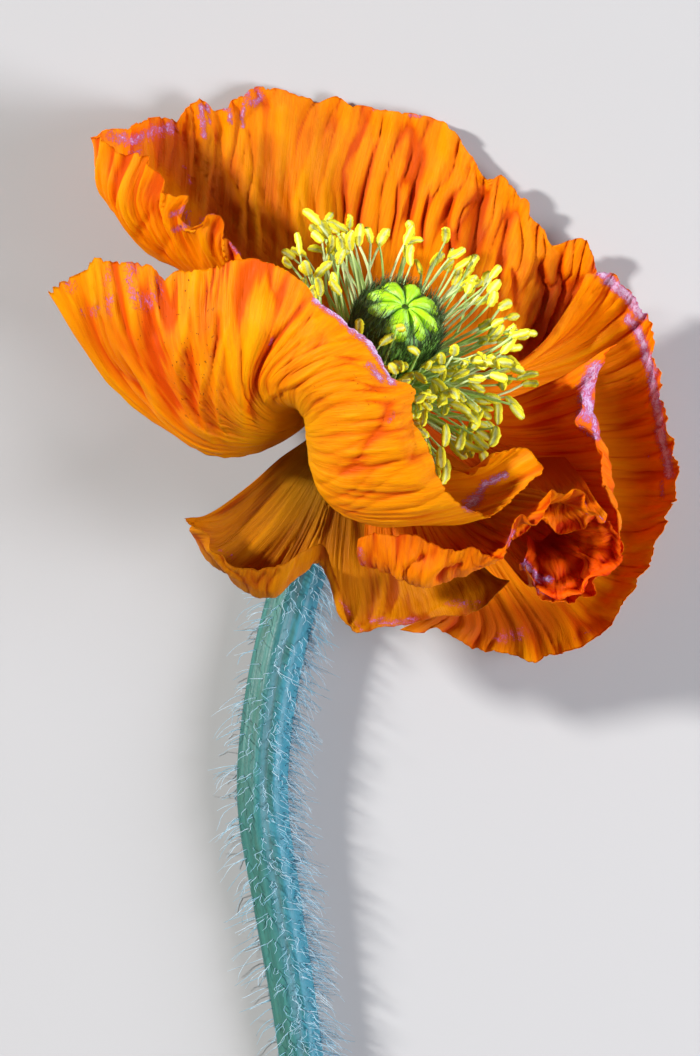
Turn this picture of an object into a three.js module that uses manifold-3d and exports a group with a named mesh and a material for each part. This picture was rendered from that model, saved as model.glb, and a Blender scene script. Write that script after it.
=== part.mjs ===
// A cut Iceland poppy, lying on its crumpled petals and on the end of its stem.
//
// Millimetres, +Z up. The flower is laid out about its receptacle, where the petals,
// the stamens and the pistil meet the stem. The flower's axis leans up and back from
// there: +X is the flower's right, +Y runs from the cut end of the stem to the bloom.
// At the end the whole flower is set down, so that it lies on z = 0.

import * as THREE from 'three';
import { mergeVertices } from 'three/addons/utils/BufferGeometryUtils.js';
import Module from 'manifold-3d';

const wasm = await Module();
wasm.setup();

// ---------------------------------------------------------------- driving dimensions

const TABLE = -15.9; // height of the surface below the receptacle
const PETAL_THICKNESS = 0.6;
const GAP = 0.6; // from the receptacle to the middle of a petal's claw
const CONTACT_BLEND = 1.2; // height over which a petal flattens onto the surface

const RECEPTACLE_RADIUS = 3.1;
const RECEPTACLE_TOP = 1.5; // along the flower's axis
const RECEPTACLE_BOTTOM = -3.6;

const PISTIL_BASE = 1.85; // along the flower's axis
const PISTIL_HEIGHT = 12.5;
const OVARY_RADIUS = 5.3;
const STIGMA_RAYS = 8;
const STIGMA_RAY_DEPTH = 0.09; // part of the radius

// The stamens stand in tiers round the pistil. The outer ones lean out furthest.
const STAMEN_TIERS = [
  { count: 20, distance: 3.05, height: 2.2, lean: 64, length: 13.6 },
  { count: 19, distance: 2.8, height: 2.5, lean: 53, length: 13.6 },
  { count: 17, distance: 2.6, height: 2.7, lean: 42, length: 13 },
];
// The folded front petal presses the stamens on its side upright.
const PRESSED_SIDE = 240; // degrees round the axis
const PRESSED_LEAN = 38;
const STAMEN_SEED = 41;
const STAMEN_RING = [[2.25, 1.9], [3.3, 1.9], [3.3, 2.3], [2.6, 2.9], [2.25, 2.9]]; // distance, height
const FILAMENT_RADIUS = 0.36;
const ANTHER_LENGTH = 2.6;
const ANTHER_RADIUS = 0.62;

const STEM_RADIUS = 2.95;
const STEM_END_RADIUS = 2.5;
const STEM_RIDGES = 7;
const STEM_RIDGE_DEPTH = 0.035; // part of the radius

// The flower's own directions: out along the axis, to the right, and to the back.
const AXIS = new THREE.Vector3(0.294, 0.637, 0.714).normalize();
const SIDE = new THREE.Vector3(AXIS.y, -AXIS.x, 0).normalize();
const BACK = new THREE.Vector3().crossVectors(AXIS, SIDE);

// ---------------------------------------------------------------- petals, by their ribs
//
// Each rib starts at the receptacle and is followed by these points, x, y, z. The
// margin closes the ribs off, as [rib, x, y, z], where the first number says how far
// along the row of ribs the point lies.

const PETALS = [
  {
    name: 'petal_back',
    colour: 0xf58a0c,
    claws: { from: 172, to: 4, height: [-0.7, -2.25] },
    grid: { across: 56, along: 8 },
    pleat: 0.42,
    ribs: [
      [[-5, 4, 1], [-9.5, 6.8, 4], [-13, 10, 7.2], [-14.8, 12.6, 9.2]],
      [[-6, 4.5, 0], [-11.5, 8, 3], [-16, 12, 6.5], [-18, 16, 9]],
      [[-7, 5, -1.2], [-13.5, 8.5, 1.5], [-19.5, 13, 5], [-22, 18, 7.5]],
      [[-7.5, 5.5, -2.8], [-15, 9.5, -0.5], [-22, 14, 3], [-26, 20, 5.5]],
      [[-8, 6, -4.2], [-16, 10.5, -3], [-24.5, 15, 0], [-29.3, 20.5, 2.5]],
      [[-8, 6.5, -5.5], [-16, 11.5, -6], [-25, 16.5, -4], [-30.8, 23, -2]],
      [[-7.5, 7, -6.5], [-15, 12.5, -9], [-23, 18.5, -9.5], [-28, 24.5, -8]],
      [[-6.5, 7.5, -7], [-13, 13.5, -11], [-20, 20, -13], [-24.5, 26, -12.5]],
      [[-5.5, 8, -7.5], [-11, 14.5, -11.8], [-16.5, 21, -14.2], [-20, 27.5, -14.5]],
      [[-4.5, 8, -7.5], [-9, 15, -12], [-13, 22, -14.6], [-15.8, 28.5, -15.4]],
      [[-3.5, 8.5, -7.5], [-6.5, 15.5, -12], [-9.5, 22.5, -14.8], [-11.5, 29, -16]],
      [[-2, 8.5, -7.5], [-4, 15.5, -12], [-5.5, 22.5, -14.8], [-6.5, 28.5, -16]],
      [[-0.5, 8.5, -7.5], [-1, 15.5, -12], [-1.5, 22.5, -14.8], [-1.5, 28.5, -16]],
      [[1, 8.3, -7], [2, 15, -11.5], [3, 22, -14], [3.7, 27.5, -15.2]],
      [[2.5, 8, -6.5], [5, 14.3, -11], [7.5, 20.5, -13.5], [9, 25.5, -14.5]],
      [[4, 7.3, -6], [8, 13, -10], [11, 18.5, -12.5], [12.8, 21.8, -13.5]],
      [[5.5, 6, -5.8], [10.5, 11, -9.8], [14.5, 15.5, -12.3], [16.8, 18.6, -13.2]],
      [[6.5, 4.8, -5.8], [12.5, 8.5, -9.8], [17.5, 12, -12.5], [21, 14.8, -13.2]],
      [[7, 3.5, -5.8], [13.8, 6, -10], [19.5, 8.5, -13], [23.5, 11, -13.7]],
      [[7.5, 2.2, -6.2], [14.5, 3.8, -10.9], [20.5, 5.5, -13.8], [24.5, 7.5, -14.7]],
      [[7.7, 0.9, -6.5], [14.8, 1.5, -11.7], [20.8, 2.6, -14.6], [24.7, 4, -15.1]],
    ],
    margin: [
      [0, -14.2, 14, 10.2], [0.5, -16, 15.8, 10.3], [0.75, -16.9, 17, 10.3],
      [1, -17, 18.6, 10.6], [1.3, -18.5, 19.4, 10.3], [1.65, -20.5, 17.8, 9.4],
      [1.9, -21.8, 19.6, 9], [2.05, -20.6, 21.4, 9.6], [2.5, -23.5, 21.8, 8.2],
      [2.75, -23.9, 23.4, 7.9], [3.1, -25.3, 25, 7], [3.4, -25.8, 26.4, 6.2],
      [4, -29, 26.5, 3.5], [4.5, -30.6, 28.3, 1.2], [5, -32, 28.3, -1.2],
      [5.5, -30.3, 29.4, -4], [6, -28, 29.6, -6.5], [6.5, -26.5, 30.4, -9],
      [7, -25.5, 30.8, -10.5], [7.5, -24, 31, -12], [7.8, -22.5, 30.7, -12.6],
      [8, -21.5, 31.8, -12.5], [8.3, -20.5, 32.6, -12.5], [8.6, -19, 33, -13],
      [8.8, -18.2, 31.8, -14.3], [9, -16.9, 32.2, -14], [9.5, -15, 33.5, -14],
      [10, -13.2, 34.5, -14.4], [10.5, -11, 34.4, -15], [10.8, -9, 33.8, -14.8],
      [11.1, -7, 33.3, -15], [11.25, -6.2, 32.7, -15.4], [11.5, -4, 33.5, -14.7],
      [11.8, -2.5, 32.7, -15], [12.2, 0, 32.2, -15], [13, 4.2, 31.6, -14.4],
      [13.4, 6, 31.3, -14.7], [13.8, 8.5, 30.6, -14.3], [14, 9.6, 29.8, -14],
      [14.3, 11, 27.6, -13.9], [14.6, 12.6, 25.2, -13], [14.85, 13.6, 23.8, -13.4],
      [15.1, 15.2, 24.3, -12.6], [15.5, 16.7, 22.8, -12.8], [15.8, 17.4, 21.7, -13],
      [16, 18.3, 21.5, -12.6], [16.2, 18.4, 19.8, -13.4], [16.6, 20.2, 17.8, -12.8],
      [16.85, 21, 16.2, -13.2], [17.1, 22.5, 16.5, -12.5], [17.6, 24.9, 16.9, -12],
      [18, 26.1, 13.8, -12.7], [18.5, 26.5, 11.5, -13.6], [19, 27, 9, -14.4],
      [20, 26.8, 5.2, -15.2],
    ],
  },
  {
    name: 'petal_right',
    colour: 0xf2860e,
    claws: { from: 9, to: -70, height: [-0.9, -2.7] },
    grid: { across: 38, along: 10 },
    pleat: 0.38,
    ribs: [
      [[8, -0.6, -2.9], [14.5, 0.8, -6.6], [19.5, 4, -9.2], [23, 9, -8.6]],
      [[8.2, -0.9, -4.6], [16, 1.3, -9.6], [23.5, 5, -11.6], [28.3, 8.8, -9.2]],
      [[8.4, -1.5, -6.2], [16.7, -0.2, -12], [25.3, 1.5, -14.2], [30.8, 3.8, -11]],
      [[8.4, -2.4, -7.3], [16.6, -2.6, -13.2], [25.5, -2.5, -15.8], [31.5, -1.2, -12.4]],
      [[8.2, -3.4, -8], [16.5, -5.5, -13.7], [25.5, -7, -16.2], [32.3, -6.6, -13]],
      [[7.8, -4.4, -8.3], [16, -8, -13.7], [25, -11.5, -16.2], [32, -12.3, -14]],
      [[7.3, -5.4, -8.3], [15, -10.5, -13.5], [23, -16, -16], [29.7, -18.3, -15]],
      [[6.7, -6.3, -8], [13.5, -12.5, -13], [20.5, -19.5, -15.5], [26.7, -23.5, -15.3]],
      [[6, -6.9, -7.6], [11.5, -14, -12.5], [17.5, -21.5, -14.5], [22, -27, -14.3]],
      [[5.3, -7.3, -7.1], [9.5, -15, -11.7], [14, -22.5, -13.2], [17.3, -28.3, -12.8]],
      [[4.5, -7.4, -6.6], [7.5, -15, -10.8], [10.5, -22, -12.2], [12.3, -27.3, -11.8]],
      [[3.7, -7.4, -6.2], [5, -14.5, -10], [6.5, -21, -11], [7.5, -25.8, -10.4]],
    ],
    margin: [
      [0, 25, 12.8, -7.2], [0.4, 27.5, 13, -6.2], [0.8, 29, 11.9, -6], [1, 30, 10.9, -5.6],
      [1.5, 31.3, 9.2, -5.4], [2, 32.6, 6.2, -5.8], [2.3, 32.9, 4.6, -6.2],
      [2.6, 32.5, 3.2, -6.8], [3, 33.2, 0.8, -6.4], [3.4, 33.5, -2, -7.2],
      [3.7, 34.3, -3.7, -6.6], [4, 35, -6.3, -6.9], [4.4, 35.3, -8.2, -8],
      [4.8, 35.6, -10.7, -8.4], [5.1, 35.5, -13.2, -9.6], [5.5, 34.7, -14.8, -10.6],
      [5.9, 33.7, -17.5, -10.4], [6.3, 32.5, -20.2, -11.4], [6.6, 31.4, -22, -11.5],
      [7, 30.4, -24.2, -12.4], [7.4, 28.3, -27, -12.2], [7.8, 25.4, -29.8, -12.7],
      [8.1, 22.6, -31, -12], [8.5, 20.5, -31.5, -12.2], [8.9, 18.5, -32.3, -11.3],
      [9.2, 16.4, -31.2, -11.4], [9.7, 13.2, -30.8, -10.4], [10.2, 10.2, -29.6, -10.4],
      [10.6, 7.6, -28.1, -9.9], [10.8, 6, -28.7, -9], [11, 3.4, -28.3, -8.4],
    ],
  },
  {
    name: 'petal_lower',
    colour: 0xc8780c,
    claws: { from: -134, to: -80, height: [-0.55, -1.1] },
    grid: { across: 28, along: 10 },
    pleat: 0.22,
    ribs: [
      [[-6.2, -5.4, 0.8], [-10.5, -8.7, 2.3], [-15, -12.5, 3.8], [-18.8, -15, 5.3]],
      [[-6.5, -7.5, 0.9], [-12, -14, 2], [-17.7, -18.5, 3.2], [-20.4, -17.3, 6]],
      [[-5.5, -9.5, 1], [-9.8, -17, 1.6], [-14.7, -22.6, 2.8], [-16, -22, 5.8]],
      [[-4.6, -10, 0.9], [-7.2, -17, 1], [-10.8, -23.7, 2], [-11.2, -24, 5]],
      [[-3.3, -9, 0.7], [-4.8, -14.5, 0.3], [-6, -19.4, 0.8], [-5.9, -20.4, 3]],
      [[-2.1, -9, 0.8], [-2.6, -15.5, -0.5], [-3.1, -22, 0], [-2.5, -26.5, 1]],
      [[-0.4, -9.3, 0.6], [0.9, -16.5, -1.5], [2.2, -22.5, -0.8], [2.9, -26.3, 0.4]],
      [[1.1, -9.2, 0.3], [4.6, -16, -2.2], [7.3, -21.5, -1.4], [8.8, -24.8, 0.4]],
      [[2.3, -8.7, 0], [7.3, -14.5, -2.6], [11.5, -19.3, -2.2], [14.2, -22, 0]],
    ],
    margin: [
      [0, -21.3, -15.5, 7.8], [0.5, -20.4, -16.3, 7.6], [1, -18.6, -17.2, 8],
      [1.5, -18, -19, 7.8], [2, -15.5, -21, 7.5], [2.6, -13, -21.3, 7.2],
      [3, -10.5, -20.8, 6.8], [3.6, -7.5, -19, 5.5], [4, -5.5, -18.7, 4.5],
      [4.5, -4, -23, 2.8], [5, -2.2, -28.2, 1.6], [5.4, -0.4, -28.3, 1.9],
      [5.8, 1.4, -27.9, 1.5], [6.2, 4, -27.6, 1.9], [6.6, 6.4, -26.8, 1.7],
      [7, 9.5, -26.5, 2], [7.4, 11.8, -26.2, 1.7], [7.7, 13.4, -25.2, 2],
      [8, 16, -22.6, 2.2],
    ],
  },
  {
    name: 'petal_inner_right',
    colour: 0xe0560a,
    claws: { from: -3, to: -62, height: [-0.1, -0.65] },
    grid: { across: 28, along: 8 },
    pleat: 0.3,
    ribs: [
      [[9, -2.6, -0.9], [16, -1.7, -1], [22, 0.8, 2]],
      [[9.5, -3.8, -2], [17.5, -4.3, -1.5], [24.7, -2.2, 2.5]],
      [[10, -5, -2.7], [18.5, -7.2, -2.2], [26.2, -6.5, 2.3]],
      [[10, -6, -2.5], [19, -9.7, -2.6], [27.4, -10.2, 1.8]],
      [[10, -6.9, -2.6], [19, -12.2, -3.2], [27.7, -14, 1]],
      [[9.4, -7.8, -2.6], [18.5, -14.6, -3.8], [27.3, -18, 0.3]],
      [[8.4, -8.1, -2.1], [17.5, -16.7, -4.2], [25.2, -21.4, -0.8]],
      [[7.4, -8.3, -1.7], [15.8, -17.8, -4.4], [21.5, -23.6, -1.2]],
      [[6.3, -8.2, -1.2], [13.8, -18, -4.4], [18, -22.9, -0.8]],
    ],
    margin: [
      [0, 28.1, 4.6, 6], [0.5, 26.9, 2.9, 7.5], [1, 25.8, 1.2, 8.3], [1.5, 24.3, -1, 8.8],
      [1.8, 24.1, -2.8, 8.6], [2, 23.7, -4.6, 8.8], [2.5, 25.9, -6.4, 8.3],
      [3, 26.4, -8.6, 8.4], [3.6, 26.4, -11.2, 7.8], [4.2, 27.2, -13, 7],
      [4.6, 28.2, -15.6, 6.8], [5, 28.8, -18.2, 6.2], [5.5, 28.4, -20.4, 5],
      [6, 26.3, -22.2, 4.4], [6.4, 25, -24.4, 3.4], [7, 22.3, -24.9, 3.6],
      [7.4, 20.2, -24.9, 4], [7.7, 19.2, -23.6, 5], [8, 18.2, -20.6, 6.2],
    ],
  },
  {
    name: 'petal_inner_fold',
    colour: 0xf07c10,
    claws: { from: -94, to: -40, height: [0.4, 0.5] },
    grid: { across: 34, along: 10 },
    pleat: 0.26,
    ribs: [
      [[0, -9, 2.4], [-0.5, -15, 3.8], [-0.9, -20.5, 6], [-1.5, -19.8, 8.7]],
      [[1.2, -9.5, 2.3], [1.8, -16, 3.4], [2.2, -21.4, 6], [2.2, -20.7, 9]],
      [[2.5, -9.8, 2.2], [4, -16.5, 3.3], [5.5, -22.8, 5.6], [5.6, -22, 9]],
      [[3.5, -9.8, 2.2], [6, -16, 3.5], [9, -22, 5.8], [9.4, -21.6, 9.2]],
      [[4.5, -9.5, 2.1], [8, -15.5, 3.6], [12.1, -20.3, 6], [12.8, -20.9, 9.2]],
      [[5.3, -9, 2.1], [10, -14.7, 3.8], [14.2, -18.3, 6.6], [15.5, -18.7, 9.7]],
      [[6, -8.5, 2], [11.3, -13.7, 3.9], [15.5, -16, 7], [17, -16, 10.2]],
      [[6.6, -8, 1.9], [12.3, -12.7, 3.9], [17, -14.3, 6.8], [19.3, -14.2, 9.8]],
      [[7.2, -7.5, 1.8], [13.3, -11.7, 3.8], [18.7, -13, 6.5], [21.5, -13.5, 9.1]],
      [[7.6, -7, 1.7], [14, -10.9, 3.6], [19.5, -12.3, 6], [23, -14, 7.8]],
    ],
    margin: [
      [0, -1.4, -17.8, 10], [0.5, 0.4, -17.2, 10.6], [1, 2.2, -17.4, 10.4],
      [1.6, 5, -17.3, 10.9], [2, 6.4, -18, 10.4], [2.5, 8.2, -18.7, 10.8],
      [3, 10, -19, 10.5], [3.5, 12, -18.7, 11], [3.8, 13, -19.4, 10.9],
      [4.2, 14.2, -19.9, 11], [4.6, 15.4, -19.4, 11.2], [5, 15.8, -18, 11.8],
      [5.4, 16.6, -16.2, 12.4], [5.8, 17.4, -15.2, 12.6], [6.2, 18.9, -15.8, 12.3],
      [6.6, 20, -14.2, 12.8], [7, 20.8, -12.2, 13.2], [7.5, 22.2, -12.8, 12.6],
      [8, 24.2, -12.5, 12.2], [8.5, 24.8, -14.6, 11.2], [9, 26.2, -15.4, 10],
    ],
  },
  {
    name: 'petal_front',
    colour: 0xff9a08,
    claws: { from: 184, to: 250, height: [0.8, 1.5] },
    grid: { across: 46, along: 8 },
    pleat: 0.3,
    ribs: [
      [[-9, -4.6, 0.4], [-18, -4.5, -1.8], [-26, 1, -2]],
      [[-9, -5.8, 2], [-18, -7.9, 3], [-28.3, -1, 3]],
      [[-9, -5.8, 4], [-19.5, -6.8, 7.5], [-28.5, 3, 8]],
      [[-9, -5.5, 6], [-18, -4.5, 11], [-24, 4, 13]],
      [[-9.6, -5.2, 7.5], [-16.5, -3.5, 13], [-19.8, 4, 16]],
      [[-10, -4.4, 9], [-14.5, -1.5, 14.5], [-14.5, 6, 18]],
      [[-9.8, -3.4, 10.4], [-13, 0, 15.5], [-10, 6, 19]],
      [[-9, -2.8, 11.6], [-11, 0, 17], [-6, 4, 20.5]],
      [[-8, -3, 12.4], [-8, -0.5, 18.5], [-2.5, 1.5, 21]],
      [[-7.4, -4.3, 12.5], [-4.5, -3.5, 18.5], [1, -3, 21]],
      [[-7.2, -6.2, 11.9], [-3.5, -8, 17.5], [3, -7.5, 20]],
      [[-6.8, -8.8, 10], [-3.5, -12.5, 14.5], [4, -12.5, 17]],
      [[-5.6, -10.4, 7.9], [-3, -15, 11], [4, -15.8, 13.5]],
      [[-3.3, -10.3, 5.8], [1, -15, 8.5], [8, -16, 10.9]],
      [[-1.3, -9.5, 5.2], [4, -13.7, 7.4], [11, -14.8, 10.2]],
      [[0.7, -8.4, 5.3], [6, -12, 7], [13.5, -12.6, 10]],
      [[1.6, -7.3, 5.7], [7, -10.5, 7.4], [12.5, -10.3, 10.6]],
      [[2.2, -6.2, 6.1], [7, -9, 8], [10, -9.8, 10.5]],
    ],
    margin: [
      [0, -33, 8.3, 0.8], [0.6, -35.5, 9.6, 3], [1, -36.9, 10.5, 5], [1.4, -35.3, 11.8, 6.2],
      [1.75, -32.7, 13, 7.2], [2, -31.6, 14.4, 8], [2.3, -30, 14, 9.5],
      [2.9, -26.5, 13.8, 12], [3.2, -24.8, 13.3, 12.6], [3.4, -23.5, 11.9, 13],
      [3.65, -22, 12.9, 14], [4, -20, 12.8, 15], [4.4, -17.5, 13.4, 16],
      [4.8, -15.5, 14.1, 16.7], [5.1, -13, 14.2, 17.2], [5.6, -10, 13.1, 18.2],
      [6, -7.5, 11.3, 19], [6.2, -6.3, 9.8, 19.3], [6.5, -5, 8.6, 19.7],
      [6.8, -3.5, 7.6, 20], [7.1, -2, 6.2, 20.2], [7.4, 0, 4.8, 20.3],
      [7.8, 1, 3.2, 20.2], [8.1, 1.8, 1.5, 20], [8.4, 2.8, 0.3, 20],
      [8.7, 4.6, -0.3, 20], [9, 5.2, -1.2, 20], [9.3, 4.7, -2.9, 19.5],
      [9.6, 5, -4.3, 19.4], [10, 6, -6.2, 19.2], [10.4, 7, -8.2, 18.8],
      [10.8, 7.7, -10.5, 17.8], [11.2, 8.8, -12.3, 16.8], [11.6, 10, -13.5, 15.8],
      [12, 11.3, -14.4, 14.8], [12.6, 12.8, -15, 13.6], [13.2, 14.4, -14.8, 13],
      [14, 16.6, -13, 12.8], [14.6, 18.2, -11.3, 12.8], [15, 19.6, -10.3, 13],
      [15.3, 19.4, -9.1, 13.2], [15.8, 17.9, -7.6, 13.2], [16.3, 15.6, -7.7, 13.2],
      [16.7, 13.6, -9, 13.2], [17, 11.6, -10.6, 12.8],
    ],
  },
];

// The stem's centre line, from the receptacle to the cut end.
const STEM_LINE = [
  [-0.6, -1.3, -1.5], [-2.6, -6, -6.2], [-5.8, -14.6, -10.4], [-9.1, -25, -12],
  [-11.6, -36.3, -12.3], [-12.5, -47.8, -12.4], [-10.9, -59.3, -12.7],
  [-9, -70.8, -13], [-7.6, -81, -13.25], [-6.6, -90, -13.35],
];

// ---------------------------------------------------------------- helpers

/** Repeatable random numbers from 0 to 1. */
function seeded(seed) {
  let state = seed;
  return () => {
    state = (state * 16807) % 2147483647;
    return state / 2147483647;
  };
}

/** A point by its angle round the flower's axis, distance from it and height along it. */
function aroundAxis(angle, distance, height) {
  const a = THREE.MathUtils.degToRad(angle);
  return new THREE.Vector3()
    .addScaledVector(SIDE, distance * Math.cos(a))
    .addScaledVector(BACK, distance * Math.sin(a))
    .addScaledVector(AXIS, height);
}

function smoothCurve(points) {
  return new THREE.CatmullRomCurve3(points, false, 'catmullrom', 0.5);
}

/** Shares vertices and drops the faces that have no area. */
function shareVertices(geometry) {
  const bare = geometry.clone();
  bare.deleteAttribute('normal');
  bare.deleteAttribute('uv');
  const merged = mergeVertices(bare, 1e-4);
  const kept = [];
  for (let i = 0; i < merged.index.count; i += 3) {
    const [a, b, c] = [0, 1, 2].map((k) => merged.index.getX(i + k));
    if (a !== b && b !== c && c !== a) kept.push(a, b, c);
  }
  merged.setIndex(kept);
  return merged;
}

function toManifold(geometry) {
  const merged = shareVertices(geometry);
  return new wasm.Manifold(new wasm.Mesh({
    numProp: 3,
    vertProperties: new Float32Array(merged.attributes.position.array),
    triVerts: new Uint32Array(merged.index.array),
  }));
}

function fromManifold(manifold) {
  const mesh = manifold.getMesh();
  const geometry = new THREE.BufferGeometry();
  geometry.setAttribute('position', new THREE.BufferAttribute(mesh.vertProperties, 3));
  geometry.setIndex(new THREE.BufferAttribute(mesh.triVerts, 1));
  return geometry;
}

function named(name, geometry, colour, roughness) {
  geometry.computeVertexNormals();
  const material = new THREE.MeshStandardMaterial({ color: colour, roughness, metalness: 0 });
  const mesh = new THREE.Mesh(geometry, material);
  mesh.name = name;
  return mesh;
}

/** A closed skin through rings of points, each ring of the same length. */
function loft(rings) {
  const sides = rings[0].length;
  const positions = rings.flat().flatMap((p) => [p.x, p.y, p.z]);
  const index = [];
  for (let r = 0; r < rings.length - 1; r++) {
    for (let s = 0; s < sides; s++) {
      const a = r * sides + s;
      const b = r * sides + ((s + 1) % sides);
      index.push(a, b + sides, b, a, a + sides, b + sides);
    }
  }
  const last = (rings.length - 1) * sides;
  for (let s = 1; s < sides - 1; s++) {
    index.push(0, s, s + 1, last, last + s + 1, last + s);
  }
  const geometry = new THREE.BufferGeometry();
  geometry.setAttribute('position', new THREE.Float32BufferAttribute(positions, 3));
  geometry.setIndex(index);
  return geometry;
}

// ---------------------------------------------------------------- petals

/** A petal that sinks to the surface flattens there instead of passing through it. */
function settle(point) {
  const floor = TABLE + PETAL_THICKNESS / 2;
  const above = point.z - floor;
  if (above < CONTACT_BLEND) {
    const t = Math.max(above + CONTACT_BLEND, 0) / (2 * CONTACT_BLEND);
    point.z = floor + CONTACT_BLEND * t * t;
  }
  return point;
}

/** Where the margin lies at a place along the row of ribs. */
function marginPoint(margin, curve, rib) {
  let i = 0;
  while (i < margin.length - 2 && margin[i + 1][0] < rib) i++;
  const step = (rib - margin[i][0]) / (margin[i + 1][0] - margin[i][0]);
  return curve.getPoint((i + step) / (margin.length - 1));
}

/** The petal's middle surface as a grid of points, from claw to margin. */
function petalGrid({ claws, ribs, margin, grid }) {
  const rows = ribs[0].map((_, k) => smoothCurve(ribs.map((rib) => new THREE.Vector3(...rib[k]))));
  const edge = smoothCurve(margin.map(([, x, y, z]) => new THREE.Vector3(x, y, z)));
  const points = [];
  for (let i = 0; i <= grid.across; i++) {
    const u = i / grid.across;
    const angle = THREE.MathUtils.lerp(claws.from, claws.to, u);
    const height = THREE.MathUtils.lerp(...claws.height, u);
    const rib = smoothCurve([
      aroundAxis(angle, RECEPTACLE_RADIUS + GAP, height),
      ...rows.map((row) => row.getPoint(u)),
      marginPoint(margin, edge, u * (ribs.length - 1)),
    ]);
    points.push(Array.from({ length: grid.along + 1 }, (_, j) => settle(rib.getPoint(j / grid.along))));
  }
  return points;
}

/** The direction square to a grid of points at each of them. */
function gridNormals(points) {
  const across = points.length - 1;
  const along = points[0].length - 1;
  return points.map((column, i) => column.map((_, j) => {
    const du = points[Math.min(i + 1, across)][j].clone().sub(points[Math.max(i - 1, 0)][j]);
    const dv = points[i][Math.min(j + 1, along)].clone().sub(points[i][Math.max(j - 1, 0)]);
    return du.cross(dv).normalize();
  }));
}

/** A pleated blade: the grid offset to both sides, with the same triangles on each face. */
function petalGeometry(petal, random) {
  const points = petalGrid(petal);
  const normals = gridNormals(points);
  const { across, along } = petal.grid;
  const width = along + 1;
  const count = (across + 1) * width;
  const positions = [];
  const pleats = points.map((_, i) => (i % 2 ? 1 : -1) * petal.pleat * (0.5 + 0.5 * random()));
  for (const side of [0.5, -0.5]) {
    points.forEach((column, i) => column.forEach((point, j) => {
      const reach = Math.min(1, (1.6 * j) / along);
      const fade = Math.min(1, (point.z - TABLE) / 2);
      const offset = side * PETAL_THICKNESS + pleats[i] * reach * reach * fade;
      const p = point.clone().addScaledVector(normals[i][j], offset);
      positions.push(p.x, p.y, Math.max(p.z, TABLE));
    }));
  }
  const index = [];
  for (let i = 0; i < across; i++) {
    for (let j = 0; j < along; j++) {
      const a = i * width + j;
      const b = a + width;
      index.push(a, b, b + 1, a, b + 1, a + 1);
      index.push(count + a, count + b + 1, count + b, count + a, count + a + 1, count + b + 1);
    }
  }
  const border = [];
  for (let i = 0; i < across; i++) border.push(i * width);
  for (let j = 0; j < along; j++) border.push(across * width + j);
  for (let i = across; i > 0; i--) border.push(i * width + along);
  for (let j = along; j > 0; j--) border.push(j);
  border.forEach((a, k) => {
    const b = border[(k + 1) % border.length];
    index.push(a, count + b, b, a, count + a, count + b);
  });
  const geometry = new THREE.BufferGeometry();
  geometry.setAttribute('position', new THREE.Float32BufferAttribute(positions, 3));
  geometry.setIndex(index);
  return geometry;
}

// ---------------------------------------------------------------- stem and receptacle

/** The stem, ridged along its length, widening into the receptacle at its head. */
function stemGeometry() {
  const SIDES = 14;
  const STEPS = 24;
  const line = smoothCurve(STEM_LINE.map((p) => new THREE.Vector3(...p)));
  const rings = [];
  const ring = (centre, across, up, radius, ridge) => Array.from({ length: SIDES }, (_, s) => {
    const a = (s / SIDES) * 2 * Math.PI;
    const r = radius * (1 + ridge * Math.cos(STEM_RIDGES * a));
    return centre.clone()
      .addScaledVector(across, r * Math.cos(a))
      .addScaledVector(up, r * Math.sin(a))
      .max(new THREE.Vector3(-Infinity, -Infinity, TABLE));
  });
  for (const [height, radius] of [
    [RECEPTACLE_TOP, RECEPTACLE_RADIUS - 0.5], [RECEPTACLE_TOP - 0.5, RECEPTACLE_RADIUS],
    [RECEPTACLE_BOTTOM + 1, RECEPTACLE_RADIUS], [RECEPTACLE_BOTTOM, RECEPTACLE_RADIUS - 0.5],
  ]) {
    rings.push(ring(AXIS.clone().multiplyScalar(height), SIDE, BACK, radius, 0));
  }
  for (let k = 1; k <= STEPS; k++) {
    const t = (k + 0.5) / (STEPS + 0.5);
    const along = line.getTangent(t);
    const across = new THREE.Vector3(-along.y, along.x, 0).normalize();
    const up = new THREE.Vector3().crossVectors(along, across).negate();
    const taper = THREE.MathUtils.smoothstep(t, 0.5, 0.9) + (1 - THREE.MathUtils.smoothstep(t, 0, 0.2));
    const radius = THREE.MathUtils.lerp(STEM_RADIUS, STEM_END_RADIUS, taper);
    rings.push(ring(line.getPoint(t), across, up, radius, STEM_RIDGE_DEPTH));
  }
  return loft(rings);
}

// ---------------------------------------------------------------- pistil

/** The barrel of the ovary with the rayed stigma on top, grown as one. */
function pistilGeometry() {
  const SIDES = STIGMA_RAYS * 4;
  const profile = [
    [0, 0], [0.27, 0], [0.3, 0.09], [0.55, 0.2], [0.84, 0.36], [0.99, 0.57], [0.97, 0.76],
    [0.83, 0.87], [0.89, 0.9], [0.88, 0.95], [0.68, 0.995], [0.4, 1], [0.16, 0.96], [0, 0.94],
  ];
  const lathe = new THREE.LatheGeometry(
    profile.map(([r, h]) => new THREE.Vector2(r * OVARY_RADIUS, h * PISTIL_HEIGHT)), SIDES);
  const positions = lathe.attributes.position;
  for (let i = 0; i < positions.count; i++) {
    const [x, y, z] = [positions.getX(i), positions.getY(i), positions.getZ(i)];
    const angle = Math.atan2(z, x);
    const cap = THREE.MathUtils.smoothstep(y / PISTIL_HEIGHT, 0.83, 0.9);
    const ray = 1 + cap * STIGMA_RAY_DEPTH * Math.cos(STIGMA_RAYS * angle);
    positions.setXYZ(i, x * ray, y, z * ray);
  }
  const turn = new THREE.Matrix4().makeBasis(SIDE, AXIS, BACK.clone().negate());
  lathe.applyMatrix4(turn);
  lathe.translate(...AXIS.clone().multiplyScalar(PISTIL_BASE).toArray());
  return shareVertices(lathe);
}

// ---------------------------------------------------------------- stamens

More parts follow.
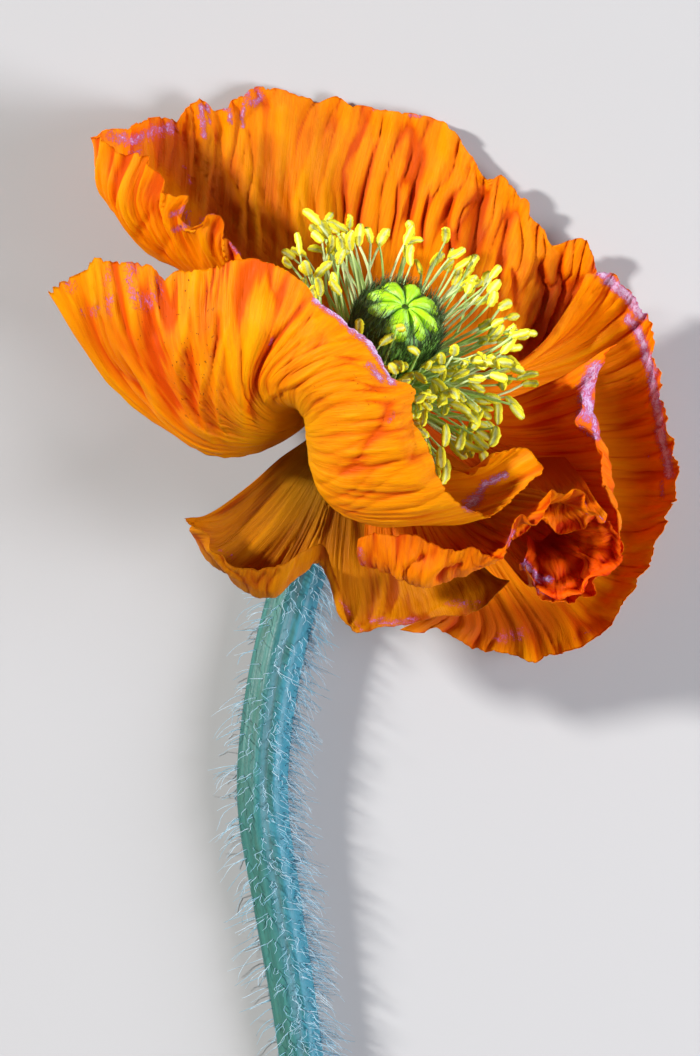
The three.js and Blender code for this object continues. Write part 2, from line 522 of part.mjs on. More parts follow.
/** One stamen: a bent filament that ends in a long anther, tipped to one side. */
function stamenGeometry(tier, angle, random) {
  const pressed = Math.max(0, Math.cos(THREE.MathUtils.degToRad(angle - PRESSED_SIDE)));
  const lean = THREE.MathUtils.lerp(tier.lean, PRESSED_LEAN, pressed) + 10 * (random() - 0.5);
  const length = tier.length * (0.88 + 0.24 * random()) * (1 - 0.25 * pressed);
  const place = (degrees, far) => {
    const a = THREE.MathUtils.degToRad(degrees);
    return aroundAxis(angle, tier.distance + far * Math.sin(a), tier.height + far * Math.cos(a));
  };
  const neck = place(lean, length);
  const rise = place(lean, length + 1).sub(neck);
  const tip = rise.addScaledVector(SIDE, random() - 0.5).addScaledVector(BACK, random() - 0.5);
  const anther = (part) => neck.clone().addScaledVector(tip, (part * ANTHER_LENGTH) / tip.length());
  const stations = [
    [place(lean, -0.3), FILAMENT_RADIUS], [place(lean + 12, 0.42 * length), FILAMENT_RADIUS],
    [neck, FILAMENT_RADIUS * 0.8], [anther(0.22), ANTHER_RADIUS], [anther(0.75), ANTHER_RADIUS],
    [anther(1), ANTHER_RADIUS * 0.5],
  ];
  const across = aroundAxis(angle + 90, 1, 0);
  const rings = stations.map(([centre, radius], k) => {
    const next = stations[Math.min(k + 1, stations.length - 1)][0];
    const before = stations[Math.max(k - 1, 0)][0];
    const up = new THREE.Vector3().crossVectors(across, next.clone().sub(before)).normalize();
    return [[1, 0], [0, 1], [-1, 0], [0, -1]].map(([a, b]) => centre.clone()
      .addScaledVector(across, radius * a)
      .addScaledVector(up, radius * b));
  });
  return loft(rings);
}

/** All the stamens, grown together at their roots in a ring round the pistil. */
function stamensGeometry() {
  const random = seeded(STAMEN_SEED);
  const profile = [...STAMEN_RING, STAMEN_RING[0]].map(([r, h]) => new THREE.Vector2(r, h));
  const ring = new THREE.LatheGeometry(profile, 24);
  ring.applyMatrix4(new THREE.Matrix4().makeBasis(SIDE, AXIS, BACK.clone().negate()));
  let bunch = toManifold(ring);
  STAMEN_TIERS.forEach((tier, t) => {
    for (let i = 0; i < tier.count; i++) {
      const angle = ((i + t / 3 + 0.5 * (random() - 0.5)) * 360) / tier.count;
      bunch = bunch.add(toManifold(stamenGeometry(tier, angle, random)));
    }
  });
  return fromManifold(bunch);
}

// ---------------------------------------------------------------- the flower

const flower = new THREE.Group();
flower.add(named('stem', stemGeometry(), 0x4f9c86, 0.6));
flower.add(named('pistil', pistilGeometry(), 0x7fc41a, 0.5));
flower.add(named('stamens', stamensGeometry(), 0xd6cf2a, 0.6));
const pleatRandom = seeded(7);
for (const petal of PETALS) {
  flower.add(named(petal.name, petalGeometry(petal, pleatRandom), petal.colour, 0.55));
}

// Set down with the middle of its box over the origin.
const box = new THREE.Box3().setFromObject(flower);
flower.position.set(-(box.min.x + box.max.x) / 2, -(box.min.y + box.max.y) / 2, -box.min.z);

export default flower;
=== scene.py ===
import math

import bpy
import numpy as np
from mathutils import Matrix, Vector


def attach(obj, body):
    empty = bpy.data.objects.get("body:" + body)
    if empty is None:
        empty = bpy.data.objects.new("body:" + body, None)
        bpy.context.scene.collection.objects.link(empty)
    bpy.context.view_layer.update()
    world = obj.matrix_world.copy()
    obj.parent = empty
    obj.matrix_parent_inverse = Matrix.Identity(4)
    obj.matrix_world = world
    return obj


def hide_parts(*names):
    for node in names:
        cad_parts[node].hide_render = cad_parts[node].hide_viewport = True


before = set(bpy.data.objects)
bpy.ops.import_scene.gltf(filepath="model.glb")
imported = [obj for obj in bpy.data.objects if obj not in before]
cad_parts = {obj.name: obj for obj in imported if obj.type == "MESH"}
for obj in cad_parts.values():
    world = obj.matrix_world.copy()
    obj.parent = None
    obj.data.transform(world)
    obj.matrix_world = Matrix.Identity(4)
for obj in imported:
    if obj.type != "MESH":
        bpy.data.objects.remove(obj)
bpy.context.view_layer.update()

# Lengths are in millimetres about the receptacle, as in the part's source, until a mesh is made.
SET_DOWN = np.array([0.489, 27.835, 15.882])  # the receptacle, in the row frame
MM = 0.001

TABLE = -15.88
THICKNESS = 0.22  # of a petal
CONTACT_BLEND, CONTACT_GAP = 1.2, 0.02  # over which a petal flattens onto the table
CLAW_DISTANCE = 3.7  # from the axis
AXIS = np.array([0.294, 0.637, 0.714])
AXIS /= np.linalg.norm(AXIS)
SIDE = np.array([AXIS[1], -AXIS[0], 0])
SIDE /= np.linalg.norm(SIDE)
BACK = np.cross(AXIS, SIDE)

# The petals, as in the part. A petal's claws are [from, to] round the axis in degrees, then
# [from, to] along it. Its ribs, from one side to the other, run out from there to the margin,
# given as [rib, x, y, z]. It has pleats of that height, as many as "across".
PETALS = [
  {
    "name": "petal_back",
    "claws": [172, 4, -0.7, -2.25],
    "across": 56,
    "pleat": 0.42,
    "ribs": [
      [[-5, 4, 1], [-9.5, 6.8, 4], [-13, 10, 7.2], [-14.8, 12.6, 9.2]],
      [[-6, 4.5, 0], [-11.5, 8, 3], [-16, 12, 6.5], [-18, 16, 9]],
      [[-7, 5, -1.2], [-13.5, 8.5, 1.5], [-19.5, 13, 5], [-22, 18, 7.5]],
      [[-7.5, 5.5, -2.8], [-15, 9.5, -0.5], [-22, 14, 3], [-26, 20, 5.5]],
      [[-8, 6, -4.2], [-16, 10.5, -3], [-24.5, 15, 0], [-29.3, 20.5, 2.5]],
      [[-8, 6.5, -5.5], [-16, 11.5, -6], [-25, 16.5, -4], [-30.8, 23, -2]],
      [[-7.5, 7, -6.5], [-15, 12.5, -9], [-23, 18.5, -9.5], [-28, 24.5, -8]],
      [[-6.5, 7.5, -7], [-13, 13.5, -11], [-20, 20, -13], [-24.5, 26, -12.5]],
      [[-5.5, 8, -7.5], [-11, 14.5, -11.8], [-16.5, 21, -14.2], [-20, 27.5, -14.5]],
      [[-4.5, 8, -7.5], [-9, 15, -12], [-13, 22, -14.6], [-15.8, 28.5, -15.4]],
      [[-3.5, 8.5, -7.5], [-6.5, 15.5, -12], [-9.5, 22.5, -14.8], [-11.5, 29, -16]],
      [[-2, 8.5, -7.5], [-4, 15.5, -12], [-5.5, 22.5, -14.8], [-6.5, 28.5, -16]],
      [[-0.5, 8.5, -7.5], [-1, 15.5, -12], [-1.5, 22.5, -14.8], [-1.5, 28.5, -16]],
      [[1, 8.3, -7], [2, 15, -11.5], [3, 22, -14], [3.7, 27.5, -15.2]],
      [[2.5, 8, -6.5], [5, 14.3, -11], [7.5, 20.5, -13.5], [9, 25.5, -14.5]],
      [[4, 7.3, -6], [8, 13, -10], [11, 18.5, -12.5], [12.8, 21.8, -13.5]],
      [[5.5, 6, -5.8], [10.5, 11, -9.8], [14.5, 15.5, -12.3], [16.8, 18.6, -13.2]],
      [[6.5, 4.8, -5.8], [12.5, 8.5, -9.8], [17.5, 12, -12.5], [21, 14.8, -13.2]],
      [[7, 3.5, -5.8], [13.8, 6, -10], [19.5, 8.5, -13], [23.5, 11, -13.7]],
      [[7.5, 2.2, -6.2], [14.5, 3.8, -10.9], [20.5, 5.5, -13.8], [24.5, 7.5, -14.7]],
      [[7.7, 0.9, -6.5], [14.8, 1.5, -11.7], [20.8, 2.6, -14.6], [24.7, 4, -15.1]],
    ],
    "margin": [
      [0, -14.2, 14, 10.2], [0.5, -16, 15.8, 10.3], [0.75, -16.9, 17, 10.3],
      [1, -17, 18.6, 10.6], [1.3, -18.5, 19.4, 10.3], [1.65, -20.5, 17.8, 9.4],
      [1.9, -21.8, 19.6, 9], [2.05, -20.6, 21.4, 9.6], [2.5, -23.5, 21.8, 8.2],
      [2.75, -23.9, 23.4, 7.9], [3.1, -25.3, 25, 7], [3.4, -25.8, 26.4, 6.2],
      [4, -29, 26.5, 3.5], [4.5, -30.6, 28.3, 1.2], [5, -32, 28.3, -1.2],
      [5.5, -30.3, 29.4, -4], [6, -28, 29.6, -6.5], [6.5, -26.5, 30.4, -9],
      [7, -25.5, 30.8, -10.5], [7.5, -24, 31, -12], [7.8, -22.5, 30.7, -12.6],
      [8, -21.5, 31.8, -12.5], [8.3, -20.5, 32.6, -12.5], [8.6, -19, 33, -13],
      [8.8, -18.2, 31.8, -14.3], [9, -16.9, 32.2, -14], [9.5, -15, 33.5, -14],
      [10, -13.2, 34.5, -14.4], [10.5, -11, 34.4, -15], [10.8, -9, 33.8, -14.8],
      [11.1, -7, 33.3, -15], [11.25, -6.2, 32.7, -15.4], [11.5, -4, 33.5, -14.7],
      [11.8, -2.5, 32.7, -15], [12.2, 0, 32.2, -15], [13, 4.2, 31.6, -14.4],
      [13.4, 6, 31.3, -14.7], [13.8, 8.5, 30.6, -14.3], [14, 9.6, 29.8, -14],
      [14.3, 11, 27.6, -13.9], [14.6, 12.6, 25.2, -13], [14.85, 13.6, 23.8, -13.4],
      [15.1, 15.2, 24.3, -12.6], [15.5, 16.7, 22.8, -12.8], [15.8, 17.4, 21.7, -13],
      [16, 18.3, 21.5, -12.6], [16.2, 18.4, 19.8, -13.4], [16.6, 20.2, 17.8, -12.8],
      [16.85, 21, 16.2, -13.2], [17.1, 22.5, 16.5, -12.5], [17.6, 24.9, 16.9, -12],
      [18, 26.1, 13.8, -12.7], [18.5, 26.5, 11.5, -13.6], [19, 27, 9, -14.4],
      [20, 26.8, 5.2, -15.2],
    ],
  },
  {
    "name": "petal_right",
    "claws": [9, -70, -0.9, -2.7],
    "across": 38,
    "pleat": 0.38,
    "ribs": [
      [[8, -0.6, -2.9], [14.5, 0.8, -6.6], [19.5, 4, -9.2], [23, 9, -8.6]],
      [[8.2, -0.9, -4.6], [16, 1.3, -9.6], [23.5, 5, -11.6], [28.3, 8.8, -9.2]],
      [[8.4, -1.5, -6.2], [16.7, -0.2, -12], [25.3, 1.5, -14.2], [30.8, 3.8, -11]],
      [[8.4, -2.4, -7.3], [16.6, -2.6, -13.2], [25.5, -2.5, -15.8], [31.5, -1.2, -12.4]],
      [[8.2, -3.4, -8], [16.5, -5.5, -13.7], [25.5, -7, -16.2], [32.3, -6.6, -13]],
      [[7.8, -4.4, -8.3], [16, -8, -13.7], [25, -11.5, -16.2], [32, -12.3, -14]],
      [[7.3, -5.4, -8.3], [15, -10.5, -13.5], [23, -16, -16], [29.7, -18.3, -15]],
      [[6.7, -6.3, -8], [13.5, -12.5, -13], [20.5, -19.5, -15.5], [26.7, -23.5, -15.3]],
      [[6, -6.9, -7.6], [11.5, -14, -12.5], [17.5, -21.5, -14.5], [22, -27, -14.3]],
      [[5.3, -7.3, -7.1], [9.5, -15, -11.7], [14, -22.5, -13.2], [17.3, -28.3, -12.8]],
      [[4.5, -7.4, -6.6], [7.5, -15, -10.8], [10.5, -22, -12.2], [12.3, -27.3, -11.8]],
      [[3.7, -7.4, -6.2], [5, -14.5, -10], [6.5, -21, -11], [7.5, -25.8, -10.4]],
    ],
    "margin": [
      [0, 25, 12.8, -7.2], [0.4, 27.5, 13, -6.2], [0.8, 29, 11.9, -6], [1, 30, 10.9, -5.6],
      [1.5, 31.3, 9.2, -5.4], [2, 32.6, 6.2, -5.8], [2.3, 32.9, 4.6, -6.2],
      [2.6, 32.5, 3.2, -6.8], [3, 33.2, 0.8, -6.4], [3.4, 33.5, -2, -7.2],
      [3.7, 34.3, -3.7, -6.6], [4, 35, -6.3, -6.9], [4.4, 35.3, -8.2, -8],
      [4.8, 35.6, -10.7, -8.4], [5.1, 35.5, -13.2, -9.6], [5.5, 34.7, -14.8, -10.6],
      [5.9, 33.7, -17.5, -10.4], [6.3, 32.5, -20.2, -11.4], [6.6, 31.4, -22, -11.5],
      [7, 30.4, -24.2, -12.4], [7.4, 28.3, -27, -12.2], [7.8, 25.4, -29.8, -12.7],
      [8.1, 22.6, -31, -12], [8.5, 20.5, -31.5, -12.2], [8.9, 18.5, -32.3, -11.3],
      [9.2, 16.4, -31.2, -11.4], [9.7, 13.2, -30.8, -10.4], [10.2, 10.2, -29.6, -10.4],
      [10.6, 7.6, -28.1, -9.9], [10.8, 6, -28.7, -9], [11, 3.4, -28.3, -8.4],
    ],
  },
  {
    "name": "petal_lower",
    "claws": [-134, -80, -0.55, -1.1],
    "across": 28,
    "pleat": 0.22,
    "ribs": [
      [[-6.2, -5.4, 0.8], [-10.5, -8.7, 2.3], [-15, -12.5, 3.8], [-18.8, -15, 5.3]],
      [[-6.5, -7.5, 0.9], [-12, -14, 2], [-17.7, -18.5, 3.2], [-20.4, -17.3, 6]],
      [[-5.5, -9.5, 1], [-9.8, -17, 1.6], [-14.7, -22.6, 2.8], [-16, -22, 5.8]],
      [[-4.6, -10, 0.9], [-7.2, -17, 1], [-10.8, -23.7, 2], [-11.2, -24, 5]],
      [[-3.3, -9, 0.7], [-4.8, -14.5, 0.3], [-6, -19.4, 0.8], [-5.9, -20.4, 3]],
      [[-2.1, -9, 0.8], [-2.6, -15.5, -0.5], [-3.1, -22, 0], [-2.5, -26.5, 1]],
      [[-0.4, -9.3, 0.6], [0.9, -16.5, -1.5], [2.2, -22.5, -0.8], [2.9, -26.3, 0.4]],
      [[1.1, -9.2, 0.3], [4.6, -16, -2.2], [7.3, -21.5, -1.4], [8.8, -24.8, 0.4]],
      [[2.3, -8.7, 0], [7.3, -14.5, -2.6], [11.5, -19.3, -2.2], [14.2, -22, 0]],
    ],
    "margin": [
      [0, -21.3, -15.5, 7.8], [0.5, -20.4, -16.3, 7.6], [1, -18.6, -17.2, 8],
      [1.5, -18, -19, 7.8], [2, -15.5, -21, 7.5], [2.6, -13, -21.3, 7.2],
      [3, -10.5, -20.8, 6.8], [3.6, -7.5, -19, 5.5], [4, -5.5, -18.7, 4.5],
      [4.5, -4, -23, 2.8], [5, -2.2, -28.2, 1.6], [5.4, -0.4, -28.3, 1.9],
      [5.8, 1.4, -27.9, 1.5], [6.2, 4, -27.6, 1.9], [6.6, 6.4, -26.8, 1.7],
      [7, 9.5, -26.5, 2], [7.4, 11.8, -26.2, 1.7], [7.7, 13.4, -25.2, 2],
      [8, 16, -22.6, 2.2],
    ],
  },
  {
    "name": "petal_inner_right",
    "claws": [-3, -62, -0.1, -0.65],
    "across": 28,
    "pleat": 0.3,
    "ribs": [
      [[9, -2.6, -0.9], [16, -1.7, -1], [22, 0.8, 2]],
      [[9.5, -3.8, -2], [17.5, -4.3, -1.5], [24.7, -2.2, 2.5]],
      [[10, -5, -2.7], [18.5, -7.2, -2.2], [26.2, -6.5, 2.3]],
      [[10, -6, -2.5], [19, -9.7, -2.6], [27.4, -10.2, 1.8]],
      [[10, -6.9, -2.6], [19, -12.2, -3.2], [27.7, -14, 1]],
      [[9.4, -7.8, -2.6], [18.5, -14.6, -3.8], [27.3, -18, 0.3]],
      [[8.4, -8.1, -2.1], [17.5, -16.7, -4.2], [25.2, -21.4, -0.8]],
      [[7.4, -8.3, -1.7], [15.8, -17.8, -4.4], [21.5, -23.6, -1.2]],
      [[6.3, -8.2, -1.2], [13.8, -18, -4.4], [18, -22.9, -0.8]],
    ],
    "margin": [
      [0, 28.1, 4.6, 6], [0.5, 26.9, 2.9, 7.5], [1, 25.8, 1.2, 8.3], [1.5, 24.3, -1, 8.8],
      [1.8, 24.1, -2.8, 8.6], [2, 23.7, -4.6, 8.8], [2.5, 25.9, -6.4, 8.3],
      [3, 26.4, -8.6, 8.4], [3.6, 26.4, -11.2, 7.8], [4.2, 27.2, -13, 7],
      [4.6, 28.2, -15.6, 6.8], [5, 28.8, -18.2, 6.2], [5.5, 28.4, -20.4, 5],
      [6, 26.3, -22.2, 4.4], [6.4, 25, -24.4, 3.4], [7, 22.3, -24.9, 3.6],
      [7.4, 20.2, -24.9, 4], [7.7, 19.2, -23.6, 5], [8, 18.2, -20.6, 6.2],
    ],
  },
  {
    "name": "petal_inner_fold",
    "claws": [-94, -40, 0.4, 0.5],
    "across": 34,
    "pleat": 0.26,
    "ribs": [
      [[0, -9, 2.4], [-0.5, -15, 3.8], [-0.9, -20.5, 6], [-1.5, -19.8, 8.7]],
      [[1.2, -9.5, 2.3], [1.8, -16, 3.4], [2.2, -21.4, 6], [2.2, -20.7, 9]],
      [[2.5, -9.8, 2.2], [4, -16.5, 3.3], [5.5, -22.8, 5.6], [5.6, -22, 9]],
      [[3.5, -9.8, 2.2], [6, -16, 3.5], [9, -22, 5.8], [9.4, -21.6, 9.2]],
      [[4.5, -9.5, 2.1], [8, -15.5, 3.6], [12.1, -20.3, 6], [12.8, -20.9, 9.2]],
      [[5.3, -9, 2.1], [10, -14.7, 3.8], [14.2, -18.3, 6.6], [15.5, -18.7, 9.7]],
      [[6, -8.5, 2], [11.3, -13.7, 3.9], [15.5, -16, 7], [17, -16, 10.2]],
      [[6.6, -8, 1.9], [12.3, -12.7, 3.9], [17, -14.3, 6.8], [19.3, -14.2, 9.8]],
      [[7.2, -7.5, 1.8], [13.3, -11.7, 3.8], [18.7, -13, 6.5], [21.5, -13.5, 9.1]],
      [[7.6, -7, 1.7], [14, -10.9, 3.6], [19.5, -12.3, 6], [23, -14, 7.8]],
    ],
    "margin": [
      [0, -1.4, -17.8, 10], [0.5, 0.4, -17.2, 10.6], [1, 2.2, -17.4, 10.4],
      [1.6, 5, -17.3, 10.9], [2, 6.4, -18, 10.4], [2.5, 8.2, -18.7, 10.8],
      [3, 10, -19, 10.5], [3.5, 12, -18.7, 11], [3.8, 13, -19.4, 10.9],
      [4.2, 14.2, -19.9, 11], [4.6, 15.4, -19.4, 11.2], [5, 15.8, -18, 11.8],
      [5.4, 16.6, -16.2, 12.4], [5.8, 17.4, -15.2, 12.6], [6.2, 18.9, -15.8, 12.3],
      [6.6, 20, -14.2, 12.8], [7, 20.8, -12.2, 13.2], [7.5, 22.2, -12.8, 12.6],
      [8, 24.2, -12.5, 12.2], [8.5, 24.8, -14.6, 11.2], [9, 26.2, -15.4, 10],
    ],
  },
  {
    "name": "petal_front",
    "claws": [184, 250, 0.8, 1.5],
    "across": 46,
    "pleat": 0.3,
    "ribs": [
      [[-9, -4.6, 0.4], [-18, -4.5, -1.8], [-26, 1, -2]],
      [[-9, -5.8, 2], [-18, -7.9, 3], [-28.3, -1, 3]],
      [[-9, -5.8, 4], [-19.5, -6.8, 7.5], [-28.5, 3, 8]],
      [[-9, -5.5, 6], [-18, -4.5, 11], [-24, 4, 13]],
      [[-9.6, -5.2, 7.5], [-16.5, -3.5, 13], [-19.8, 4, 16]],
      [[-10, -4.4, 9], [-14.5, -1.5, 14.5], [-14.5, 6, 18]],
      [[-9.8, -3.4, 10.4], [-13, 0, 15.5], [-10, 6, 19]],
      [[-9, -2.8, 11.6], [-11, 0, 17], [-6, 4, 20.5]],
      [[-8, -3, 12.4], [-8, -0.5, 18.5], [-2.5, 1.5, 21]],
      [[-7.4, -4.3, 12.5], [-4.5, -3.5, 18.5], [1, -3, 21]],
      [[-7.2, -6.2, 11.9], [-3.5, -8, 17.5], [3, -7.5, 20]],
      [[-6.8, -8.8, 10], [-3.5, -12.5, 14.5], [4, -12.5, 17]],
      [[-5.6, -10.4, 7.9], [-3, -15, 11], [4, -15.8, 13.5]],
      [[-3.3, -10.3, 5.8], [1, -15, 8.5], [8, -16, 10.9]],
      [[-1.3, -9.5, 5.2], [4, -13.7, 7.4], [11, -14.8, 10.2]],
      [[0.7, -8.4, 5.3], [6, -12, 7], [13.5, -12.6, 10]],
      [[1.6, -7.3, 5.7], [7, -10.5, 7.4], [12.5, -10.3, 10.6]],
      [[2.2, -6.2, 6.1], [7, -9, 8], [10, -9.8, 10.5]],
    ],
    "margin": [
      [0, -33, 8.3, 0.8], [0.6, -35.5, 9.6, 3], [1, -36.9, 10.5, 5], [1.4, -35.3, 11.8, 6.2],
      [1.75, -32.7, 13, 7.2], [2, -31.6, 14.4, 8], [2.3, -30, 14, 9.5],
      [2.9, -26.5, 13.8, 12], [3.2, -24.8, 13.3, 12.6], [3.4, -23.5, 11.9, 13],
      [3.65, -22, 12.9, 14], [4, -20, 12.8, 15], [4.4, -17.5, 13.4, 16],
      [4.8, -15.5, 14.1, 16.7], [5.1, -13, 14.2, 17.2], [5.6, -10, 13.1, 18.2],
      [6, -7.5, 11.3, 19], [6.2, -6.3, 9.8, 19.3], [6.5, -5, 8.6, 19.7],
      [6.8, -3.5, 7.6, 20], [7.1, -2, 6.2, 20.2], [7.4, 0, 4.8, 20.3],
      [7.8, 1, 3.2, 20.2], [8.1, 1.8, 1.5, 20], [8.4, 2.8, 0.3, 20],
      [8.7, 4.6, -0.3, 20], [9, 5.2, -1.2, 20], [9.3, 4.7, -2.9, 19.5],
      [9.6, 5, -4.3, 19.4], [10, 6, -6.2, 19.2], [10.4, 7, -8.2, 18.8],
      [10.8, 7.7, -10.5, 17.8], [11.2, 8.8, -12.3, 16.8], [11.6, 10, -13.5, 15.8],
      [12, 11.3, -14.4, 14.8], [12.6, 12.8, -15, 13.6], [13.2, 14.4, -14.8, 13],
      [14, 16.6, -13, 12.8], [14.6, 18.2, -11.3, 12.8], [15, 19.6, -10.3, 13],
      [15.3, 19.4, -9.1, 13.2], [15.8, 17.9, -7.6, 13.2], [16.3, 15.6, -7.7, 13.2],
      [16.7, 13.6, -9, 13.2], [17, 11.6, -10.6, 12.8],
    ],
  },
]

# Two crumpled folds of the inner right petal, which fill its hollow. Their roots stand on it.
CRUMPLES = [
    {
        "name": "crumple_upper", "across": 8, "pleat": 0.2,
        "roots": [[14.5, -9.5, -1.2], [17, -9, -1.5], [20, -8.5, -1.5], [22.5, -8.5, -0.6]],
        "ribs": [
            [[15.5, -13, 3], [16.4, -15.6, 6.2]], [[18.5, -12, 3.5], [19.4, -14.6, 7.2]],
            [[21, -12, 4], [21.6, -14.6, 6.6]], [[23.2, -11.8, 4.6], [24, -13.8, 8]],
            [[24.6, -11.2, 4.6], [25.8, -13.4, 7.6]],
        ],
        "margin": [
            [0, 16.2, -18, 6], [0.4, 17.3, -17.2, 6.8], [0.8, 18.6, -16.2, 7.4],
            [1.2, 19.8, -15.6, 7.6], [1.6, 20.8, -16.6, 6.8], [2, 21.8, -17.3, 6.4],
            [2.4, 23.4, -16.9, 7.2], [2.8, 24.6, -16.6, 8], [3, 25.1, -15.9, 8.2],
            [3.4, 26, -15.3, 8.4], [3.7, 26.8, -16, 7.8], [4, 27.2, -15, 7.6],
        ],
    },
    {
        "name": "crumple_lower", "across": 14, "pleat": 0.3,
        "roots": [
            [20.6, -15.4, 1.2], [21, -16.4, 0.8], [20.6, -17.4, 0.4], [19.8, -18, 0.4],
            [18.8, -18, 0.4], [18, -17.4, 0.8],
        ],
        "ribs": [
            [[23.4, -15.6, 3.6], [26, -15.8, 5.6]], [[23.8, -16.8, 4.6], [26.4, -17.2, 6.2]],
            [[23.8, -18, 2.8], [26.6, -19, 4.6]], [[23.2, -19, 4.6], [25.6, -20.6, 6]],
            [[22.2, -19.8, 2.8], [23.8, -22, 4.2]], [[21, -20.2, 4.2], [21.6, -22.8, 5.4]],
            [[19.4, -20, 2.4], [19.6, -22, 4]], [[18, -19.2, 3.2], [17.8, -20.6, 5]],
        ],
        "margin": [
            [0, 27.4, -15.8, 6.4], [0.5, 28, -16.6, 7], [1, 28.6, -17.6, 6.8],
            [1.5, 28.9, -19, 6], [2, 29, -20.2, 5.4], [2.5, 28.2, -21.3, 6.2],
            [3, 27, -21.9, 6.8], [3.5, 25.6, -22.3, 6], [4, 24.8, -23.9, 4.8],
            [4.5, 23, -24.5, 5.4], [5, 21.4, -24.7, 5.8], [5.5, 19.8, -24, 5],
            [6, 18.7, -23.2, 4.6], [6.5, 18.2, -21.9, 5.4], [7, 17.2, -20.4, 6],
        ],
    },
]

STEM_LINE = [
    [-0.6, -1.3, -1.5], [-2.6, -6, -6.2], [-5.8, -14.6, -10.4], [-9.1, -25, -12],
    [-11.6, -36.3, -12.3], [-12.5, -47.8, -12.4], [-10.9, -59.3, -12.7],
    [-9, -70.8, -13], [-7.6, -81, -13.25], [-6.6, -90, -13.35],
]
STEM_RADIUS, STEM_END_RADIUS = 2.95, 2.5
STEM_RIDGES, STEM_RIDGE_DEPTH = 7, 0.035
RECEPTACLE_RADIUS, RECEPTACLE_TOP, RECEPTACLE_BOTTOM = 3.1, 1.5, -3.6

PISTIL_BASE, PISTIL_HEIGHT, OVARY_RADIUS = 1.85, 12.5, 5.3
STIGMA_RAYS = 8
PAINTED_LIGHT_TURN = math.radians(-40)  # round the axis, where painted light falls on the ovary
# Outlines as [part of the ovary's radius, part of the pistil's height].
BARREL = [
    [0, 0], [0.27, 0], [0.3, 0.09], [0.55, 0.2], [0.84, 0.36], [0.98, 0.57], [0.95, 0.76],
    [0.8, 0.88], [0.5, 0.94], [0, 0.95],
]
STIGMA_PROFILE = [
    [0.0, 0.93], [0.07, 0.945], [0.17, 0.99], [0.33, 1.01], [0.5, 1.005], [0.65, 0.98],
    [0.76, 0.935], [0.83, 0.88], [0.83, 0.835], [0.78, 0.825], [0.7, 0.86], [0.6, 0.9],
]

# Tiers as in the part, with more stamens in each: [count, distance, height, lean, length].
# Leans are in degrees from the axis, nearer to PRESSED_LEAN on the side that is pressed.
STAMEN_TIERS = [
    [30, 3.05, 2.2, 66, 13.6],
    [27, 2.95, 2.35, 58, 13.9],
    [20, 2.8, 2.5, 50, 13.6],
    [15, 2.7, 2.6, 43, 13.2],
    [9, 2.6, 2.7, 37, 12.6],
]
PRESSED_SIDE, PRESSED_LEAN = 240, 38
# Bunches that crowd some sides: [count, angles, leans, lengths], each [from, to].
STAMEN_BUNCHES = [
    [52, [-80, 14], [34, 84], [9, 14]],
    [16, [-60, 0], [26, 58], [8, 12]],
    [26, [-84, -18], [76, 100], [9, 12.5]],
    [14, [12, 80], [46, 76], [10, 14]],
    [12, [120, 185], [52, 68], [12, 14.5]],
]
BUNCH_DISTANCE, BUNCH_HEIGHT = (2.6, 3.2), (2.1, 2.8)
# Stamens that cross the ovary, as [bend, tip], from a root in front of it.
STRAY_ROOT = [0.6, -1.2, 3.9]
STRAYS = [
    [[1.6, 2.2, 10.2], [3.1, 6.2, 13.6]], [[-0.6, 1.6, 8.6], [1.2, 4.4, 12.4]],
    [[3.8, 0.4, 9.4], [5.5, 3.3, 12.6]], [[1.4, 0.2, 9.2], [2.6, 2.2, 12.2]],
    [[4.2, -0.6, 8.4], [5.9, 1.9, 11.2]], [[2.4, -1.4, 8.4], [3.6, 0.2, 11.4]],
    [[-1.6, 2.4, 8], [-1.2, 5.6, 11]], [[3.2, -2.4, 7.6], [5.2, -1.6, 11]],
]
STAMEN_RING = [[2.25, 1.9], [3.3, 1.9], [3.3, 2.3], [2.6, 2.9], [2.25, 2.9]]


# ---------------------------------------------------------------- helpers

HAIR_SIDES = 3


def spans(points, t):
    """The points with one more at each end, and for each t its span and its place in that."""
    ends = np.concatenate([
        [2 * points[0] - points[1]], points, [2 * points[-1] - points[-2]],
    ])
    place = np.clip(t, 0, 1) * (len(points) - 1)
    i = np.minimum(place.astype(int), len(points) - 2)
    return ends, i, place - i


def smooth_curve(a, b, c, d, w):
    return b + 0.5 * w * (c - a + w * (2 * a - 5 * b + 4 * c - d + w * (3 * b - a - 3 * c + d)))


def spline(points, t):
    """The smooth curve through points, along the first axis, at t from 0 to 1."""
    points = np.asarray(points, float)
    ends, i, w = spans(points, np.asarray(t, float))
    w = w.reshape(w.shape + (1,) * (points.ndim - 1))
    return smooth_curve(*(ends[i + k] for k in range(4)), w)


def spline_grid(columns, t):
    """As spline, for columns[k, i] read down each column i at t[i, j]."""
    ends, i, w = spans(columns, t)
    column = np.arange(columns.shape[1])[:, None]
    return smooth_curve(*(ends[i + k, column] for k in range(4)), w[..., None])


def smoothstep(x, low, high):
    t = np.clip((x - low) / (high - low), 0, 1)
    return t * t * (3 - 2 * t)


def unit(v):
    return v / np.maximum(np.linalg.norm(v, axis=-1, keepdims=True), 1e-9)


def noise(x, y, seed):
    """Smooth noise from about -1 to 1 over a plane."""
    rng = np.random.default_rng(seed)
    table = rng.permutation(256)
    turn = rng.uniform(0, 2 * math.pi, 256)
    xi, yi = np.floor(x).astype(int), np.floor(y).astype(int)
    fx, fy = x - xi, y - yi
    sx, sy = (f * f * f * (f * (f * 6 - 15) + 10) for f in (fx, fy))

    def corner(i, j):
        a = turn[table[(table[(xi + i) % 256] + yi + j) % 256]]
        return np.cos(a) * (fx - i) + np.sin(a) * (fy - j)

    low = corner(0, 0) * (1 - sx) + corner(1, 0) * sx
    high = corner(0, 1) * (1 - sx) + corner(1, 1) * sx
    return 1.5 * (low * (1 - sy) + high * sy)


